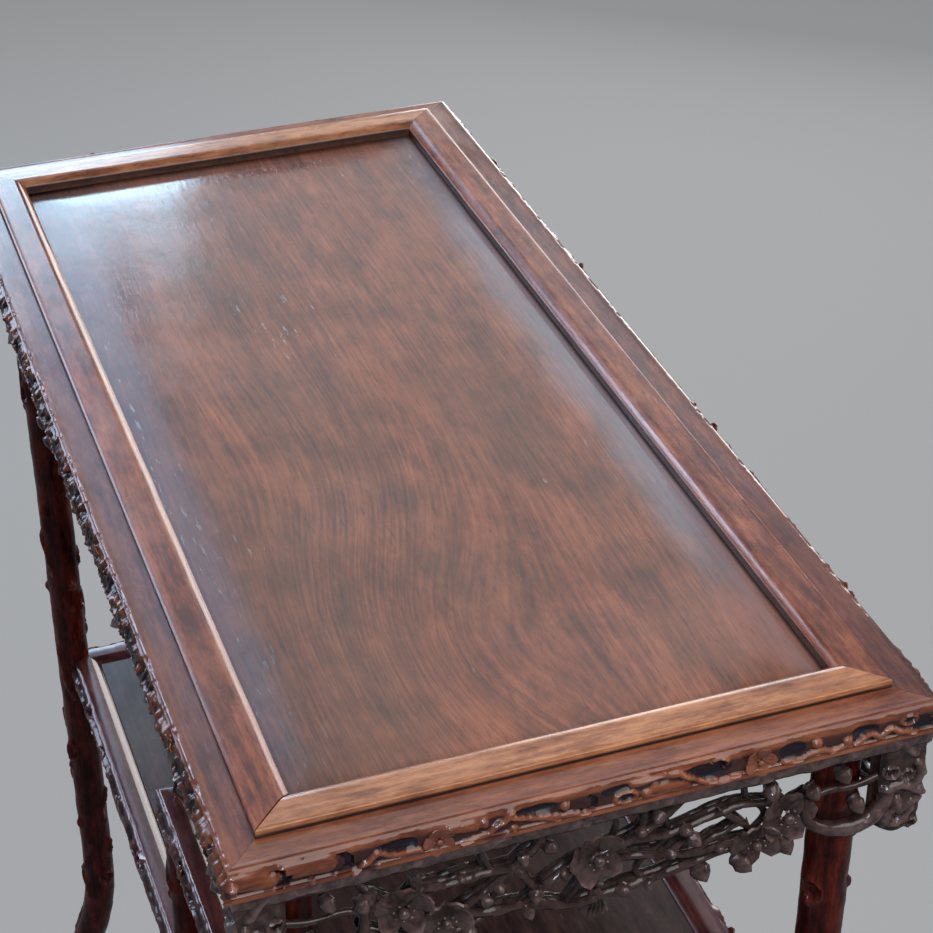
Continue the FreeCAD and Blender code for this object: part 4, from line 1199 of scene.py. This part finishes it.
def makeShelfRails(kind, names):
    spec = shelfSpec
    for node, turn, length, place in sideFrames(kind + "_frame", names):
        rng = random.Random(kind + node)
        width, top, bottom = railSize(node)
        tall, lip, bulge = top - bottom, spec["lip"], spec["bulge"]
        profile, drops = [], {}

        def add(spot, drop):
            drops[round(spot[0], 4), round(spot[1], 4)] = drop
            profile.append(spot)
        for number in range(spec["lipSteps"] + 1):
            angle = math.pi / 2 * (1 - number / spec["lipSteps"])
            spot = (lip - lip * math.cos(angle), top - lip + lip * math.sin(angle))
            add(spot, lip * (math.pi / 2 - angle))
        for number in range(1, spec["rows"] + 1):
            drop = lip + (tall - lip) * number / spec["rows"]
            add((0.0, top - drop), drop)
        profile += [(width * 0.5, bottom), (width, bottom)]
        wide, drop = spec["chamferWide"], spec["chamferTall"]
        profile += [(width, top - drop - 0.8), (width - 0.4, top - drop)]
        profile += [(width - wide * 0.5, top - drop * 0.5), (width - wide, top - 0.3)]
        profile.append((width - wide - 0.9, top))
        bm = pullBar(profile, length + 4 * bulge, spec["step"])
        relief = reliefLayer(bm)
        heightAt = knobblyMotifs(length, tall, rng)
        for vert in bm.verts:
            drop = drops.get((round(vert.co.y, 4), round(vert.co.z, 4)))
            if drop is None:
                continue
            u = vert.co.x
            ground = spec["ground"] * smoothStep(2.5, 5, drop)
            shift = heightAt(u, drop) - ground + 0.5 * grit(u, drop, 5, turn)
            shift = min(shift - 1.4 * max(0, grit(u, 1, 13, turn + 7)), spec["proudest"])
            vert.co.y -= (shift + bulge * smoothStep(1, 6, drop)) * smoothStep(0, 2, drop)
            carved = clamp(shift / spec["proudest"]) * smoothStep(1, 4, drop)
            vert[relief] = carved + 0.3 * (1 - smoothStep(2, 4, drop))
        mitreEnds(bm, length)
        for u, v in scatterBlossoms(length, tall, rng):
            flower = onFace(u, 0.6 - bulge, top - v, spec["blossomSize"], u * 0.03, flat=0.9)
            stamp(bm, templates["blossom"], flower)
        finishPiece("carved_" + node, bm, sided("shelf", turn), [node], place)


def makeStrips(kind, names):
    spec = shelfSpec
    rows, thick = spec["stripRows"], spec["stripThick"]
    fullDrop = spec["waveDrop"] + spec["waveDepth"]
    for node, turn, length, place in sideFrames(kind + "_apron", names):
        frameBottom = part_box(kind + "_frame_" + names[turn])[0].z / mm
        top = min(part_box(node)[1].z / mm, frameBottom)
        rng = random.Random(node)
        profile = [(0.0, top - fullDrop * row / rows) for row in range(rows + 1)]
        profile += [(thick * 0.5, top - fullDrop), (thick, top - fullDrop), (thick, top)]
        bm = pullBar(profile, length, spec["step"])
        count = max(1, round(length / spec["wavePitch"]))
        heightAt = knobblyMotifs(length, fullDrop - 2, rng)
        relief = reliefLayer(bm)

        def bottomDrop(u):
            share = (u / length + 0.5) * count % 1.0
            return spec["waveDrop"] + spec["waveDepth"] * (1 - (2 * share - 1) ** 2)
        for vert in bm.verts:
            u, drop = vert.co.x, top - vert.co.z
            squeezed = drop * (bottomDrop(u) + 1.4 * grit(u, 0, 9, turn)) / fullDrop
            vert.co.z = top - squeezed
            if vert.co.y < 0.01:
                shift = heightAt(u, drop) - 1.6 + 0.6 * grit(u, drop, 5, turn + 3)
                vert.co.y = -min(shift, 1.8)
                vert[relief] = clamp(shift / 2.2)
        mitreEnds(bm, length)
        steps = spec["hemSteps"]
        hem = [((u, 3.6, top - bottomDrop(u) + 1.4), 3.1 + 0.9 * grit(u, 0, 11, 4))
               for u in [length * (step / steps - 0.5) * 0.985 for step in range(steps + 1)]]
        growTwigs(bm, [hem])
        finishPiece("carved_" + node, bm, sided("shelf", turn), [node], place)


endRailSpec = {"pitch": 50.0, "tube": 2.4, "bud": 3.6, "railSteps": 24}


def makeEndRail():
    spec = endRailSpec
    node = "half_shelf_end_rail"
    low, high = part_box(node)
    bottom, top = low.z / mm, high.z / mm
    lowY, highY = low.y / mm, high.y / mm
    x = (low.x + high.x) / 2 / mm
    tube = spec["tube"]
    count = round((highY - lowY) / spec["pitch"])
    pitch = (highY - lowY - 2 * tube) / count
    steps = spec["railSteps"]
    rail = [(lowY + tube + pitch * count * step / steps, 0.7 * grit(step, 0, 2.3))
            for step in range(steps + 1)]
    paths = [[((x, y, top - tube + rise), tube) for y, rise in rail]]
    bm = bmesh.new()
    reliefLayer(bm)
    for number in range(count + 1):
        y = lowY + tube + pitch * number
        middle = (x, y + 1, (bottom + top) / 2)
        paths.append([((x, y, bottom), tube * 1.2), (middle, tube * 0.9), ((x, y, top - tube), tube)])
        if number < count:
            sweep = [(y, bottom + 1), (y + pitch * 0.25, bottom + 3.5), (y + pitch * 0.5, top - 3.5),
                     (y + pitch * 0.75, bottom + 3.5), (y + pitch, bottom + 1)]
            paths.append([((x, sweepY, sweepZ), tube * 0.8) for sweepY, sweepZ in sweep])
    growTwigs(bm, paths)
    for number in range(count):
        y = lowY + tube + pitch * (number + 0.5)
        stamp(bm, templates["bud"], Matrix.Translation((x, y, bottom + 3)) @ Matrix.Scale(spec["bud"], 4))
    finishPiece("twig_" + node, bm, "apron", [node], Matrix.Scale(mm, 4))


# boards and hidden pieces keep their frame shapes

keptFinish = {"half_shelf_panel": "shelfPanelPaintedShade", "lower_shelf_panel": "shelfPanelPaintedShade"}


def dressKeptNodes():
    for node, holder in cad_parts.items():
        finish = keptFinish.get(node)
        if not finish and ("batten" in node or node.endswith("_keys")):
            finish = "plain"
        if finish:
            holder.data.materials.clear()
            holder.data.materials.append(finishes[finish])


setCamera()
setLamps()
setFloor()
makeFinishes()
templates = {"blossom": makeBlossom(), "bud": makeBud(), "fan": makeFan(), "thorn": makeThorn()}
makeTopRails()
makeMouldings()
makePanel()
makeAprons()
makeLegs()
makePosts()
halfNames = ("front", "leg_end", "back", "free_end")
makeShelfRails("half_shelf", halfNames)
makeShelfRails("lower_shelf", sideNames)
makeStrips("half_shelf", halfNames)
makeStrips("lower_shelf", sideNames)
makeEndRail()
dressKeptNodes()
for template in templates.values():
    bpy.data.meshes.remove(template)
